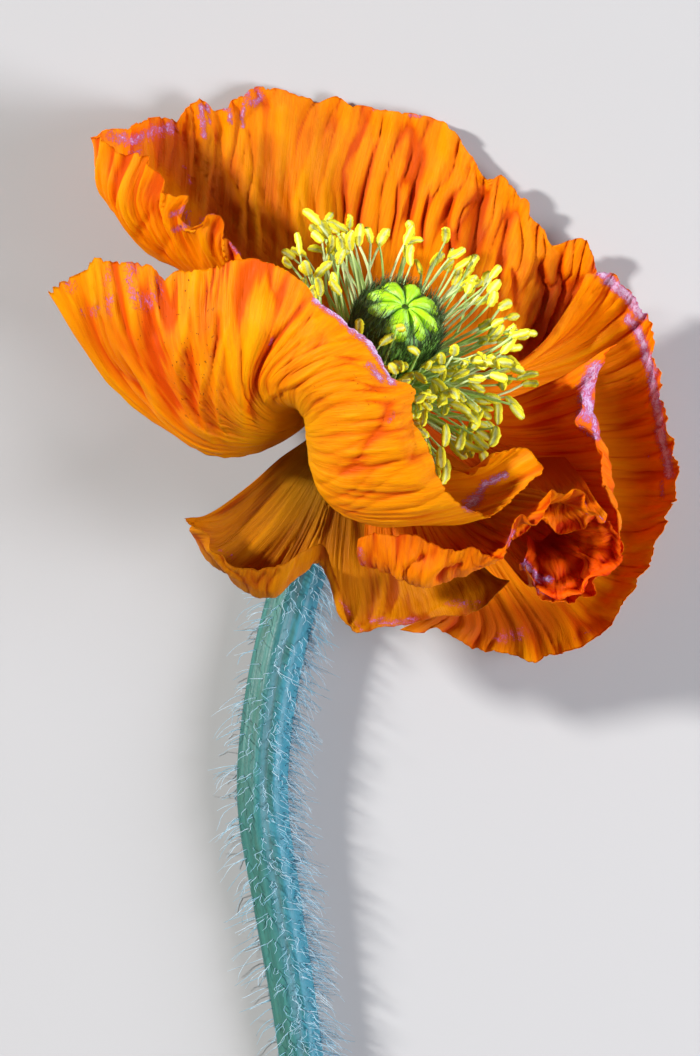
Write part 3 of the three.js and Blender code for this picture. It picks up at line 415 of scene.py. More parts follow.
def grid_faces(rows, columns, first=0, closed=False):
    """Quads between the points of a grid, rows by columns, closed round the columns or not."""
    r = np.arange(rows - 1)[:, None]
    c = np.arange(columns if closed else columns - 1)[None, :]
    n = (c + 1) % columns
    a, b = r * columns + c, r * columns + n
    return first + np.stack([a, b, b + columns, a + columns], -1).reshape(-1, 4)


def turn_of(sides):
    """The angles of a ring's points."""
    return np.arange(sides) * 2 * math.pi / sides


def tube_faces(rows, sides, flip=False):
    """The quads of a tube, and the two caps that close it."""
    ring = np.arange(sides)
    quads, caps = grid_faces(rows, sides, closed=True), [ring[::-1], (rows - 1) * sides + ring]
    return (quads[:, ::-1], [cap[::-1] for cap in caps]) if flip else (quads, caps)


def placed(name, data):
    """A new object in the scene."""
    made = bpy.data.objects.new(name, data)
    bpy.context.scene.collection.objects.link(made)
    return made


def make_piece(name, points, quads, others=(), material=None, slot=None, marks=None, uv=None):
    """A smooth mesh from points in millimetres, quads and other faces, that rides on the flower."""
    points = np.asarray(points, float).reshape(-1, 3)
    mesh = bpy.data.meshes.new(name)
    corners = [np.asarray(quads, int).reshape(-1)] + [np.asarray(f, int) for f in others]
    sizes = np.concatenate([np.full(len(quads), 4), [len(f) for f in others]]).astype(int)
    loops = np.concatenate(corners)
    mesh.vertices.add(len(points))
    mesh.vertices.foreach_set("co", ((points + SET_DOWN) * MM).astype(np.float32).ravel())
    mesh.loops.add(len(loops))
    mesh.loops.foreach_set("vertex_index", loops.astype(np.int32))
    mesh.polygons.add(len(sizes))
    mesh.polygons.foreach_set("loop_start", (np.cumsum(sizes) - sizes).astype(np.int32))
    mesh.update(calc_edges=True)
    mesh.validate()
    mesh.shade_smooth()
    for key, values in (marks or {}).items():
        made = mesh.attributes.new(key, "FLOAT", "POINT")
        made.data.foreach_set("value", np.asarray(values, np.float32).ravel())
    if uv is not None:
        layer = mesh.uv_layers.new(name="Along")
        at = np.empty(len(mesh.loops), np.int32)
        mesh.loops.foreach_get("vertex_index", at)
        layer.data.foreach_set("uv", np.asarray(uv, np.float32).reshape(-1, 2)[at].ravel())
    if material:
        mesh.materials.append(material)
    piece = placed(name, mesh)
    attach(piece, "root")
    return piece


def tubes(paths, widths, heights, facing, sides, section=None):
    """Closed tubes along many paths: points, quads, caps, and each point's place and angle."""
    count, steps = paths.shape[:2]
    along = unit(np.gradient(paths, axis=1))
    across = unit(np.cross(along, facing[:, None, :]))
    up = np.cross(across, along)
    a = turn_of(sides)
    shape = np.ones(sides) if section is None else section(a)
    x = (np.cos(a) * shape)[None, None, :, None] * widths[..., None, None]
    y = (np.sin(a) * shape)[None, None, :, None] * heights[..., None, None]
    points = paths[:, :, None, :] + across[:, :, None, :] * x + up[:, :, None, :] * y
    one = grid_faces(steps, sides, closed=True)
    first = (np.arange(count) * steps * sides)[:, None, None]
    quads = (one[None, :, ::-1] + first).reshape(-1, 4)
    ring = np.arange(sides)
    low = first[:, 0] + ring
    high = first[:, 0] + (steps - 1) * sides + ring[::-1]
    place = np.broadcast_to(np.linspace(0, 1, steps)[None, :, None], (count, steps, sides))
    turn = np.broadcast_to(a[None, None, :], (count, steps, sides))
    return points.reshape(-1, 3), quads, [*low, *high], place.ravel(), turn.ravel()


def make_hairs(name, paths, thick, facing, tones, material, slot):
    """Tapered hairs along many paths, each in its own tone."""
    points, quads, caps, _, _ = tubes(paths, thick, thick, facing, HAIR_SIDES)
    tone = np.repeat(tones, paths.shape[1] * HAIR_SIDES)
    make_piece(name, points, quads, caps, material, slot, {"tone": tone})


def around_axis(angle, distance, height):
    a = np.radians(angle)[..., None]
    d, h = np.asarray(distance, float)[..., None], np.asarray(height, float)[..., None]
    return SIDE * d * np.cos(a) + BACK * d * np.sin(a) + AXIS * h


def seeded(seed):
    """Repeatable random numbers from 0 to 1, as the part draws them."""
    state = seed
    while True:
        state = state * 16807 % 2147483647
        yield state / 2147483647


# ---------------------------------------------------------------- materials

class Nodes:
    """A material's nodes, made and linked in one call each."""

    def __init__(self, name):
        self.material = bpy.data.materials.new(name)
        self.material.use_nodes = True
        self.tree = self.material.node_tree
        self.tree.nodes.clear()

    def add(self, kind, out=0, settings=None, **inputs):
        """A node's output. An input is given by its name, or by i and its place."""
        node = self.tree.nodes.new(kind)
        for key, value in (settings or {}).items():
            setattr(node, key, value)
        for key, value in inputs.items():
            at = int(key[1:]) if key[0] == "i" and key[1:].isdigit() else key.replace("_", " ")
            socket = node.inputs[at]
            if isinstance(value, bpy.types.NodeSocket):
                self.tree.links.new(value, socket)
            else:
                socket.default_value = value
        return node if out is None else node.outputs[out]

    def mark(self, name):
        """What the mesh says at each point under that name."""
        return self.add("ShaderNodeAttribute", "Fac", {"attribute_name": name})

    def noise(self, vector, scale, detail, rough):
        return self.add("ShaderNodeTexNoise", "Fac", Vector=vector, Scale=scale,
                        Detail=detail, Roughness=rough)

    def grain(self, across, down, detail, rough):
        """Noise with so many cells a millimetre, across the piece and down its length."""
        along = self.add("ShaderNodeUVMap", 0, {"uv_map": "Along"})
        scaled = self.add("ShaderNodeMapping", Vector=along, Scale=(across, down, 1))
        return self.noise(scaled, 1, detail, rough)

    def math(self, operation, a, b):
        return self.add("ShaderNodeMath", 0, {"operation": operation}, i0=a, i1=b)

    def span(self, value, low, high, to_low=0.0, to_high=1.0):
        return self.add("ShaderNodeMapRange", 0, {"interpolation_type": "SMOOTHSTEP"}, Value=value,
                        From_Min=low, From_Max=high, To_Min=to_low, To_Max=to_high)

    def mix(self, share, a, b):
        return self.add("ShaderNodeMix", 2, {"data_type": "RGBA"}, i0=share, i6=a, i7=b)

    def layers(self, colour, *layers):
        """A colour with others over it: as the value goes from low to high, up to the share."""
        for value, low, high, share, over in layers:
            colour = self.mix(self.span(value, low, high, 0, share), colour, over)
        return colour

    def bump(self, height, strength, distance):
        return self.add("ShaderNodeBump", Height=height, Strength=strength, Distance=distance)

    def skin(self, colour, rough, **more):
        return self.add("ShaderNodeBsdfPrincipled", Base_Color=colour, Roughness=rough, **more)

    def lit_through(self, share, skin, colour, **more):
        """The skin, with a share of the light let through in that colour."""
        light = self.add("ShaderNodeBsdfTranslucent", Color=colour, **more)
        return self.add("ShaderNodeMixShader", i0=share, i1=skin, i2=light)

    def finish(self, shader):
        self.add("ShaderNodeOutputMaterial", None, Surface=shader)
        return self.material


def rgb(red, green, blue):
    """A colour as it is seen on a screen, 0 to 255."""
    values = [c / 255 for c in (red, green, blue)]
    return tuple(c / 12.92 if c < 0.04045 else ((c + 0.055) / 1.055) ** 2.4 for c in values) + (1,)


def petal_material(name, claw, body, streak_and_highlight, grain_and_crease_shade, dark, glow):
    """Satin petal: streaks along the ribs, painted shade in the creases and hollows, painted
    highlight on the ridges, a painted violet sheen, light through it.
    """
    n = Nodes(name)
    fold, painted_sheen = n.mark("fold"), n.mark("painted_sheen")
    streak, fine = n.grain(1.6, 0.09, 4, 0.6), n.grain(7.5, 0.35, 3, 0.6)
    # Painted shade in the creases (deep colour) and painted highlight on the ridges (bright colour)
    # follow the fold mark.
    lit = n.layers(
        body, (streak, 0.3, 0.75, 0.55, streak_and_highlight),
        (n.grain(0.28, 0.16, 4, 0.6), 0.5, 0.75, 0.4, grain_and_crease_shade), (fine, 0.5, 0.8, 0.3, grain_and_crease_shade),
        (fold, 0.0, -0.75, 0.92, grain_and_crease_shade), (fold, 0.15, 0.9, 0.7, streak_and_highlight),
        # Painted shade in the dark colour is laid over last, after the claw's own colour.
        (n.mark("reach"), 0.55, 0.1, 0.85, claw), (n.mark("painted_shade"), 0.05, 0.95, 0.8, dark),
    )

    # The painted violet sheen, a reflection of bluish light, is patchy: reddish where it is thin,
    # then violet, and nearly white where thick.
    patchy = n.span(n.grain(0.9, 0.55, 6, 0.75), 0.3, 0.7, -0.5, 0.3)
    fleck = n.span(n.grain(4.5, 3.2, 4, 0.7), 0.3, 0.7, -0.4, 0.3)
    shown = n.math("ADD", painted_sheen, n.math("ADD", patchy, fleck))
    shown = n.math("MULTIPLY", shown, n.span(painted_sheen, 0.02, 0.3))
    lit = n.layers(
        lit, (shown, 0.0, 0.5, 0.55, rgb(200, 70, 52)),
        (shown, 0.36, 0.85, 0.8, rgb(182, 122, 200)),
        (shown, 0.78, 1.15, 0.9, rgb(230, 216, 250)),
    )
    spotted = n.math("MULTIPLY", n.mark("stain"), n.span(n.grain(2.2, 1.6, 2, 0.5), 0.66, 0.72))
    lit = n.mix(spotted, lit, rgb(92, 34, 18))

    normal = n.bump(n.math("ADD", n.math("MULTIPLY", fine, 0.6), streak), 0.6, 0.0003)
    rough = n.span(n.grain(16, 2.4, 2, 0.5), 0.3, 0.75, 0.42, 0.6)
    skin = n.skin(lit, rough, Normal=normal, Specular_IOR_Level=0.09)
    return n.finish(n.lit_through(0.34, skin, n.mix(0.55, lit, glow), Normal=normal))


def stem_material():
    """Waxy stem: green, with painted bluish light on its right and painted shade in its groove, and
    a pale cut end.
    """
    n = Nodes("stem_wax")
    turn = n.mark("turn")
    fibre, mottle = n.grain(1.6, 0.05, 4, 0.6), n.grain(0.5, 0.16, 5, 0.6)
    pore = n.grain(3.4, 1.6, 3, 0.6)
    green = n.mix(n.span(fibre, 0.35, 0.7), rgb(27, 86, 80), rgb(43, 112, 104))
    green = n.layers(green, (mottle, 0.45, 0.7, 0.6, rgb(30, 88, 68)),
                     (pore, 0.6, 0.8, 0.35, rgb(76, 142, 132)))
    # Painted bluish light along the stem's right side.
    blue = n.math("MULTIPLY", n.span(turn, -0.5, 0.5), n.span(turn, 2.6, 1.8))
    green = n.mix(n.math("MULTIPLY", blue, 0.8), green, rgb(52, 130, 152))
    # Painted shade in the groove, mottled.
    groove = n.math("MULTIPLY", n.span(turn, 0.0, 0.22), n.span(turn, 0.55, 0.4))
    groove_shade = n.math("MULTIPLY", groove, n.span(mottle, 0.4, 0.6, 0.15, 0.7))
    green = n.mix(groove_shade, green, rgb(30, 84, 64))
    pith = n.mix(n.span(fibre, 0.3, 0.7), rgb(190, 214, 150), rgb(220, 232, 190))
    green = n.mix(n.mark("cut"), green, pith)
    normal = n.bump(n.math("ADD", fibre, n.math("MULTIPLY", pore, 0.5)), 0.3, 0.0004)
    return n.finish(n.skin(
        green, n.span(mottle, 0.3, 0.7, 0.42, 0.6), Normal=normal, Sheen_Weight=0.25,
        Sheen_Roughness=0.35, Sheen_Tint=rgb(160, 220, 255), Subsurface_Weight=0.08,
        Subsurface_Scale=0.002))


def hair_material(name, low, high, through):
    n = Nodes(name)
    colour = n.mix(n.mark("tone"), low, high)
    skin = n.skin(colour, 0.4, Specular_IOR_Level=0.5)
    return n.finish(n.lit_through(through, skin, colour))


def ovary_material():
    """Dark streaked green, lighter at its foot, with painted light on its right."""
    n = Nodes("ovary_skin")
    streak = n.grain(2.6, 0.35, 4, 0.6)
    colour = n.mix(n.span(streak, 0.35, 0.7), rgb(52, 66, 6), rgb(98, 128, 20))
    colour = n.layers(colour, (n.mark("up"), 0.45, 0.1, 0.8, rgb(70, 120, 40)))
    # Painted light on the ovary's right side.
    painted_light_share = n.math("MULTIPLY", n.mark("rightward"), n.span(streak, 0.4, 0.6))
    colour = n.mix(painted_light_share, colour, rgb(128, 190, 80))
    return n.finish(n.skin(colour, 0.5, Normal=n.bump(streak, 0.4, 0.0003)))


def stigma_material():
    """Waxy lime lobes with darker lines between them, and patches of painted bluish-white
    highlight.
    """
    n = Nodes("stigma_wax")
    lobe, out = n.mark("lobe"), n.mark("out")
    grain = n.grain(1.6, 0.7, 5, 0.65)
    colour = n.mix(n.span(lobe, 0.15, 0.75), rgb(84, 150, 4), rgb(184, 238, 18))
    colour = n.layers(
        colour, (grain, 0.4, 0.75, 0.55, rgb(132, 212, 8)),
        (out, 0.62, 0.85, 0.6, rgb(120, 150, 14)),
        (out, 0.14, 0.02, 0.6, rgb(120, 190, 90)),
        # Pale bluish-white patches: painted highlight.
        (n.grain(0.5, 0.4, 3, 0.5), 0.52, 0.75, 0.45, rgb(186, 230, 190)),
    )
    return n.finish(n.skin(
        colour, 0.38, Normal=n.bump(grain, 0.35, 0.0004), Subsurface_Weight=0.15,
        Subsurface_Scale=0.0015, Coat_Weight=0.12, Coat_Roughness=0.3))


def filament_material():
    n = Nodes("filament_green")
    colour = n.mix(n.mark("tone"), rgb(186, 226, 110), rgb(226, 240, 180))
    base = n.span(n.mark("along"), 0.0, 0.4, 0.5, 0)
    colour = n.mix(base, colour, rgb(140, 206, 80))
    return n.finish(n.lit_through(0.25, n.skin(colour, 0.4), colour))


def anther_material():
    """Grainy pollen, with a pale seam between the sacs."""
    n = Nodes("anther_pollen")
    grain = n.noise(n.add("ShaderNodeTexCoord", "Object"), 9000, 3, 0.6)
    colour = n.mix(n.mark("tone"), rgb(206, 196, 0), rgb(240, 228, 4))
    colour = n.layers(colour, (grain, 0.35, 0.7, 0.7, rgb(255, 246, 30)),
                      (n.mark("seam"), 0.35, 0.9, 0.8, rgb(206, 218, 156)))
    return n.finish(n.skin(colour, 0.6, Normal=n.bump(grain, 0.5, 0.0002)))


def floor_material():
    n = Nodes("floor_card")
    tone = n.mix(n.noise(n.add("ShaderNodeTexCoord", "Object"), 3, 3, 0.5),
                 (0.4, 0.4, 0.405, 1), (0.425, 0.425, 0.43, 1))
    return n.finish(n.skin(tone, 0.8))


# ---------------------------------------------------------------- petals

# How each petal is dressed: its grid as (across, along), the lean of its folds, its creases as
# [count across, strength] from coarse to fine, the size of its dents, its share of the pleats, and
# its ruffled margin as [count, strength]. Some are stained, as [first rib, last rib, from the
# claw, strength]. Some have calmer creases, as [first rib, last rib, share taken off]. One has
# folds that flow as in plan, given by their slope at each x.
LOOKS = {
    "petal_back": {
        "grid": (400, 84), "lean": 0.5, "creases": [[32, 1.0], [74, 0.36], [150, 0.09]],
        "crumple": 0.25, "pleat": 0.45, "ruffle": [34, 0.4], "calm": [12, 21, 0.25], "seed": 3,
        "flow": [[-33, 0], [-20, 0.02], [-14, 0.05], [-7, 0.12], [0, 0.26], [12, 0.3], [28, 0.42]],
    },
    "petal_right": {
        "grid": (280, 84), "lean": 0.6, "creases": [[36, 0.6], [84, 0.24], [150, 0.08]],
        "crumple": 0.35, "pleat": 0.7, "ruffle": [26, 0.35], "seed": 5,
    },
    "petal_lower": {
        "grid": (180, 80), "lean": 0.4, "creases": [[14, 0.34], [48, 0.14], [90, 0.06]],
        "crumple": 0.4, "pleat": 0.5, "ruffle": [14, 0.25], "seed": 7,
    },
    "petal_inner_right": {
        "grid": (200, 84), "lean": 0.5, "creases": [[24, 0.4], [60, 0.17], [110, 0.06]],
        "crumple": 0.4, "pleat": 0.7, "ruffle": [16, 0.3], "seed": 11,
    },
    "petal_inner_fold": {
        "grid": (220, 84), "lean": 0.5, "creases": [[16, 0.32], [50, 0.18], [110, 0.06]],
        "crumple": 0.35, "pleat": 0.35, "ruffle": [12, 0.22], "seed": 13,
    },
    "petal_front": {
        "grid": (370, 90), "lean": 0.5, "creases": [[34, 0.64], [86, 0.36], [150, 0.12]],
        "crumple": 0.15, "pleat": 0.45, "ruffle": [34, 0.3], "calm": [7, 17, 0.45],
        "stain": [[2.6, 4.4, 0.45, 1], [8, 9.5, 0.4, 0.6]], "seed": 17,
    },
    "crumple_upper": {
        "grid": (110, 56), "lean": 0.5, "creases": [[8, 0.45], [24, 0.18]], "crumple": 0.6,
        "pleat": 1, "ruffle": [8, 0.4], "seed": 19,
    },
    "crumple_lower": {
        "grid": (140, 64), "lean": 0.6, "creases": [[13, 0.5], [34, 0.22]], "crumple": 0.8,
        "pleat": 1, "ruffle": [8, 0.5], "seed": 21,
    },
}

# Single folds, from the top down: [height, width on the left, width on the right, first rib,
# last rib, x, y, x, y, ...]. A height below 0 is a valley.
FOLDS = {
    "petal_back": [
        [0.94, 1.5, 0.22, 5, 20, -18.7, 33, -18.3, 28, -18.6, 25, -19.4, 22, -19.2, 19],
        [0.66, 1.1, 0.2, 5, 20, -16.3, 32.4, -16, 30, -16, 28, -16.6, 25.5],
        [0.57, 1.0, 0.2, 5, 20, -17.2, 25, -16.2, 24, -15.4, 22, -15.1, 20, -15.1, 15],
        [0.66, 1.2, 0.2, 5, 20, -14.1, 34, -15, 30.2, -14.2, 28.5, -13.8, 25, -14.8, 21, -14.6, 16],
        [0.47, 0.8, 0.2, 5, 20, -12.9, 31, -12.8, 26, -13.5, 21.5, -13, 18, -12.7, 14],
        [1.23, 0.75, 0.7, 5, 20, -10.1, 33.6, -10.2, 28, -10.6, 23],
        [0.47, 0.2, 0.5, 5, 20, -10.6, 24, -10.9, 19, -10.8, 14],
        [1.04, 0.25, 1.3, 5, 20, -5.6, 30.5, -6.6, 27.5, -7.6, 24.5, -8.6, 21, -8.6, 19, -8, 15],
        [0.94, 0.25, 1.2, 5, 20, -3.3, 28.5, -4.6, 25.5, -5.3, 23, -5.5, 20, -5.2, 16],
        [-0.85, 0.5, 0.4, 5, 20, -0.8, 29.5, -2.2, 27, -3, 25, -3, 22.5, -2.3, 19],
        [-0.76, 0.4, 0.4, 5, 20, 0.4, 31.8, 0.3, 29, 0.2, 27, -0.2, 24, -1.2, 20, -1.7, 16],
        [-0.47, 0.25, 0.3, 5, 20, 3.2, 26, 3.1, 23, 3.1, 20, 2, 16],
        [-0.94, 0.7, 0.5, 5, 20, 5.1, 31, 4.9, 28, 4.6, 25.5, 4, 23],
        [-1.04, 0.5, 0.5, 5, 20, 6.5, 28, 5.9, 25.5, 5.2, 23.5, 4.9, 21, 4.2, 18],
        [-0.85, 0.35, 0.4, 5, 20, 7, 23, 6.6, 21, 6.3, 19, 6.1, 15],
        [-1.04, 0.6, 0.5, 5, 20, 10, 22.5, 9.3, 20.5, 8.9, 18.5, 9.4, 16, 9.5, 13],
        [-1.13, 0.9, 0.6, 5, 20, 14, 22.8, 13, 21, 12.6, 19, 12.3, 17, 11.6, 14],
        [-0.57, 0.25, 0.3, 5, 20, 12.2, 22, 10.8, 20.5, 10.2, 19, 10.3, 16],
        [-0.57, 0.25, 0.3, 5, 20, 16.6, 20, 15.6, 17.5, 14.9, 15, 14.4, 12],
        [-0.66, 0.35, 0.35, 5, 20, 15.3, 15.5, 15.2, 13, 15, 11, 15.2, 9],
        [-0.76, 0.4, 0.4, 5, 20, 16.4, 14, 17, 11, 16.8, 8.5],
        [-1.23, 0.6, 0.4, 5, 21, 19.8, 15.3, 19.9, 13.5, 20.7, 11, 20.5, 9, 19.4, 6, 18, 3],
        [-1.23, 0.6, 0.4, 5, 21, 22.2, 15.2, 22.2, 13, 22.7, 10.5, 21.8, 8, 20.7, 5, 19, 1.5],
        [-1.23, 0.9, 0.5, 5, 21, 25, 13.4, 24.3, 11, 23.2, 8.5, 22, 6, 20, 2.5],
        [-0.28, 0.5, 0.4, -1, 5, -24.6, 20.6, -26, 18, -27, 15.5, -27.6, 12],
        [-0.24, 0.35, 0.35, -1, 5, -29.5, 26.5, -29.2, 23, -29.6, 19, -28.6, 15],
        [0.2, 0.3, 0.9, -1, 5, -30.4, 25.5, -30.9, 22, -30, 18, -29, 14],
        [0.24, 0.3, 0.6, -1, 5, -18.9, 18, -19.1, 15.5, -19, 13],
        [-0.24, 0.4, 0.5, -1, 5, -22.5, 17.4, -23.6, 15.5, -24.6, 13],
    ],
    "petal_front": [
        [0.52, 0.9, 0.2, 0, 6, -21, 8.5, -21.1, 5.5, -21.6, 3, -21.9, 1, -21.3, -2, -20, -4.5, -18,
         -7],
        [0.45, 0.25, 0.3, 0, 6, -19.2, 6, -19, 3, -19.1, 0, -19.3, -3, -18.6, -5.5, -17.2, -7.8],
        [0.38, 0.25, 0.2, 0, 6, -18, 7.5, -18, 5, -18.6, 1.5, -19.1, -1],
        [0.52, 0.25, 0.4, 0, 6, -16, 7, -16.9, 4, -17.5, 1, -17.5, -2, -17, -4.5, -16, -7],
        [0.45, 0.3, 0.25, -1, 6, -32.5, 10.5, -30.5, 8, -28.5, 4, -26.5, 1, -25.3, -1.5, -23, -4.5],
        [0.45, 0.3, 0.25, -1, 6, -29.6, 11, -28.5, 6, -27, 2.5, -25.5, 0, -24, -3, -21, -6],
        [0.38, 0.3, 0.25, -1, 6, -27.7, 9, -26.5, 4, -25.5, 1.5, -24.6, -1, -22.5, -4.5],
        [-0.45, 0.3, 0.3, -1, 6, -31.5, 9, -29.5, 6, -27.5, 2, -26.3, -0.5, -24.5, -3.5],
        [-0.6, 1.0, 1.0, 0, 6, -25, 8, -25, 4, -24, 1, -22.5, -2, -21, -4.5],
        [-0.45, 0.6, 0.5, 0, 6, -20.3, 9, -20.4, 4, -20.4, 0, -20.2, -3],
        [-0.38, 0.5, 0.5, 0, 6, -17.2, 8.5, -17.4, 5, -18, 2.5],
        [0.45, 1.3, 0.4, 0, 8, -11.5, 9, -12.6, 6, -14.3, 2, -14.9, -2, -14.3, -6],
        [-0.6, 0.4, 0.4, 0, 8, -9.8, 6.5, -11, 4.8, -12.3, 2.5, -13.2, 0, -13.7, -3, -13, -5.5],
        [-0.19, 0.35, 0.35, 3, 9, -6.4, 7.2, -8, 4.5, -9.3, 2, -10, 0],
        [-0.14, 0.3, 0.3, 3, 9, -5, 6.6, -5.8, 4.4, -6.6, 2.6],
        [0.25, 0.35, 0.3, 3, 12, -2.8, 3.8, -5.5, 2.2, -8, 0.5, -10.5, -0.7, -12, -2, -12.2, -3.6],
        [-0.17, 0.3, 0.25, 3, 12, -5, 1.4, -8.5, -0.4, -10.8, -1.6, -11.7, -2.8],
        [-0.14, 0.3, 0.3, 5, 14, -1.6, 0.2, -4, -1, -6.3, -2.5, -7.4, -4],
        [-0.33, 0.5, 0.8, 5, 14, 3, -1.6, 2.1, -3, 1.2, -5, 0, -6.6, -1.5, -8.8, -3.4, -10.3],
        [-0.14, 0.3, 0.3, 7, 14, 0, -6, -2.5, -7.5, -5, -8.2, -7.7, -7.8],
        [-0.14, 0.3, 0.3, 7, 14, 1.4, -7.4, -1.5, -8.8, -4, -9.3, -6.7, -8.9],
        [-0.17, 0.3, 0.3, 7, 14, 2.5, -7.4, 0, -8.7, -2.5, -10.2, -5, -11.4, -7.2, -11.8],
        [-0.17, 0.3, 0.3, 7, 14, 3.4, -8.8, 0.5, -10, -1.5, -12, -3.5, -13.1, -6, -13.2],
        [-0.17, 0.3, 0.3, 7, 15, 5, -9.3, 2, -11, -0.5, -12.8, -2.5, -14, -4.8, -14.2],
        [-0.17, 0.3, 0.3, 7, 15, 7, -11.8, 4, -12.7, 1, -13.5, -2, -14.8, -4.4, -15.2],
        [-0.14, 0.6, 0.4, 7, 14, 4.8, -4.6, 5.1, -7, 4.6, -9.4],
    ],
    "petal_inner_fold": [
        [-0.54, 0.5, 0.5, -1, 6, 6.6, -19.6, 4.6, -20.6, 3.6, -22],
        [-0.54, 0.5, 0.5, -1, 8, 11, -20.5, 8.6, -21.4, 7.2, -23],
        [0.36, 0.6, 0.6, -1, 6, 5.6, -19.6, 3.8, -20.9, 2.6, -22.4],
        [0.42, 0.8, 0.8, -1, 8, 9.4, -20.2, 7, -21.5, 5.8, -23.4],
        [-0.42, 0.5, 0.5, 3, 9, 15.4, -17.8, 13.7, -19.5, 12.4, -21],
    ],
}

# Where the painted violet sheen lies, a reflection of bluish light: [strength, width, x, y, x, y,
# ...].
PAINTED_SHEEN = {
    "petal_back": [
        [0.8, 0.9, -29.5, 28.6, -27.5, 28.2, -25, 29.3, -23, 29.8],
        [0.6, 0.5, -27.6, 26.8, -26.8, 26.8], [1, 0.35, -19.7, 32.2, -19.4, 30.5, -19.2, 28.8],
        [1, 0.2, -18.8, 32.7, -18.6, 30.3], [1, 0.25, -16.8, 32, -16.3, 32, -16.1, 30.4],
        [0.9, 0.3, -14.2, 33.8, -14.8, 31.6, -14.8, 30],
        [0.9, 0.55, -13.6, 32.7, -12.6, 33.3, -13, 34.2], [0.9, 0.16, -21.4, 25.3, -20.8, 23.2],
        [0.8, 0.4, -22.7, 19.3, -21.2, 20, -21.1, 18, -22.4, 17.7],
        [0.8, 0.25, -19.8, 18.8, -18.6, 19.6, -17.8, 19.5], [0.8, 0.25, -15.9, 16, -15.2, 15],
        [0.7, 0.2, 0.4, 31.9, 0.8, 31.9], [0.8, 0.25, 4.6, 31.3, 5.9, 31.2],
        [1, 0.3, 26.2, 13.8, 28.2, 11.8, 30.3, 9.8, 31.6, 8],
    ],
    "petal_right": [
        [1.25, 0.75, 26.3, 13.4, 28.4, 11.4, 30, 10, 31.4, 8],
        [1.25, 0.6, 29.9, 7.6, 31, 6.3, 31.7, 4.6, 32, 3, 32.6, 1.5, 32.9, -1, 33.4, -3.5, 33.7, -6,
         34.3, -8, 34.7, -10.4], [0.9, 0.3, 33.9, -11.3, 33.9, -13],
        [0.8, 0.25, 32.2, -8, 32.5, -8.4], [0.5, 0.9, 15, -29.3, 17.6, -28.8],
        [0.5, 0.35, 23.8, -29.4, 25.4, -28.5],
    ],
    "petal_lower": [
        [0.6, 0.6, 0.3, -27.2, 2.6, -27.6, 5.2, -27.2], [0.45, 0.6, 9, -25.2, 12.6, -25.4],
        [0.4, 0.3, -1, -28.3, -3.6, -24.6], [0.4, 0.4, -17.3, -19, -15.5, -20.2],
    ],
    "petal_inner_right": [
        [1.2, 0.95, 25.9, 1.8, 25, 0.2, 24.6, -1.4, 25.2, -3, 24.6, -3.6],
        [1, 0.5, 25.7, -2.5, 25.6, -4.6, 26, -6.2], [0.8, 0.25, 24, -4.9, 25.6, -6.2],
        [0.6, 0.4, 18.9, -22.5, 19.3, -23.8, 21, -24.7],
    ],
    "petal_inner_fold": [[0.8, 0.3, 15.8, -18.4, 16.4, -16.9], [0.5, 0.5, -1.2, -19, -0.8, -20.8]],
    "petal_front": [
        [1.2, 0.6, -6, 9.4, -3, 7.1, -0.8, 5.2, 1, 3.2, 2.2, 1, 2.4, 0.2],
        [0.9, 0.5, 1.3, 0.4, -0.2, 2], [1.15, 0.8, 11.4, -13.9, 12.3, -13.1],
        [1.05, 0.5, 12.2, -13, 13.3, -11.4, 15.4, -10.5], [0.5, 0.8, -35.2, 11.4, -34, 11],
        [0.45, 0.9, -31.4, 8.3, -32.4, 8.2], [0.42, 0.9, -29.8, 13, -30, 10, -29.5, 8.2],
        [0.48, 1.2, -27, 13.6, -27.4, 11.4, -26, 9, -25, 9.2, -24.3, 11.2],
        [0.7, 0.2, -11.1, 5.2, -11.6, 4.2], [0.5, 0.4, 2.6, -3.6, 2.2, -4.4],
    ],
    "crumple_upper": [[0.7, 0.15, 26.3, -15.2, 27.1, -16], [0.6, 0.15, 24.5, -13.2, 24.9, -15]],
    "crumple_lower": [[1.15, 0.45, 17.4, -20.2, 18.6, -21.6, 19.4, -22.6, 20.6, -22.4]],
}

# Where painted shade darkens a petal: [strength, width, x, y, x, y, ...].
PAINTED_SHADE = {
    "petal_back": [
        [0.85, 4.5, -22, 27, -17, 22, -15, 12], [0.6, 3.2, -12, 27, -11, 14],
        [0.42, 5, -7, 31, -5, 25, -3, 17], [0.55, 2.2, 12.5, 21, 11, 14, 12, 8],
        [0.6, 2.5, 20.5, 12, 20.5, 4, 17, -2],
    ],
    "petal_right": [[0.25, 3, 26, 6, 29, -4, 28, -14], [0.95, 3.6, 6, -25, 13, -27.5, 20, -27.5]],
    "petal_lower": [[0.6, 3, 2, -22, 8, -23, 14, -22]],
    "petal_inner_right": [[1, 4.4, 15, -11, 18, -14.5, 20, -19], [0.5, 3, 23, -9, 25, -14]],
    "petal_inner_fold": [[0.8, 3, 6, -15, 12, -16.5, 16, -17]],
    "petal_front": [
        [0.5, 2.6, -19, 9, -19, 3], [0.35, 2.2, -12.4, -5, -9, 1],
        [0.6, 5.5, -31, 6, -25, 2, -19, -3],
    ],
    "crumple_upper": [[0.8, 2.4, 17, -12, 22, -12.5]],
    "crumple_lower": [[0.9, 1.7, 18.6, -17.3, 20.8, -18.2]],
}

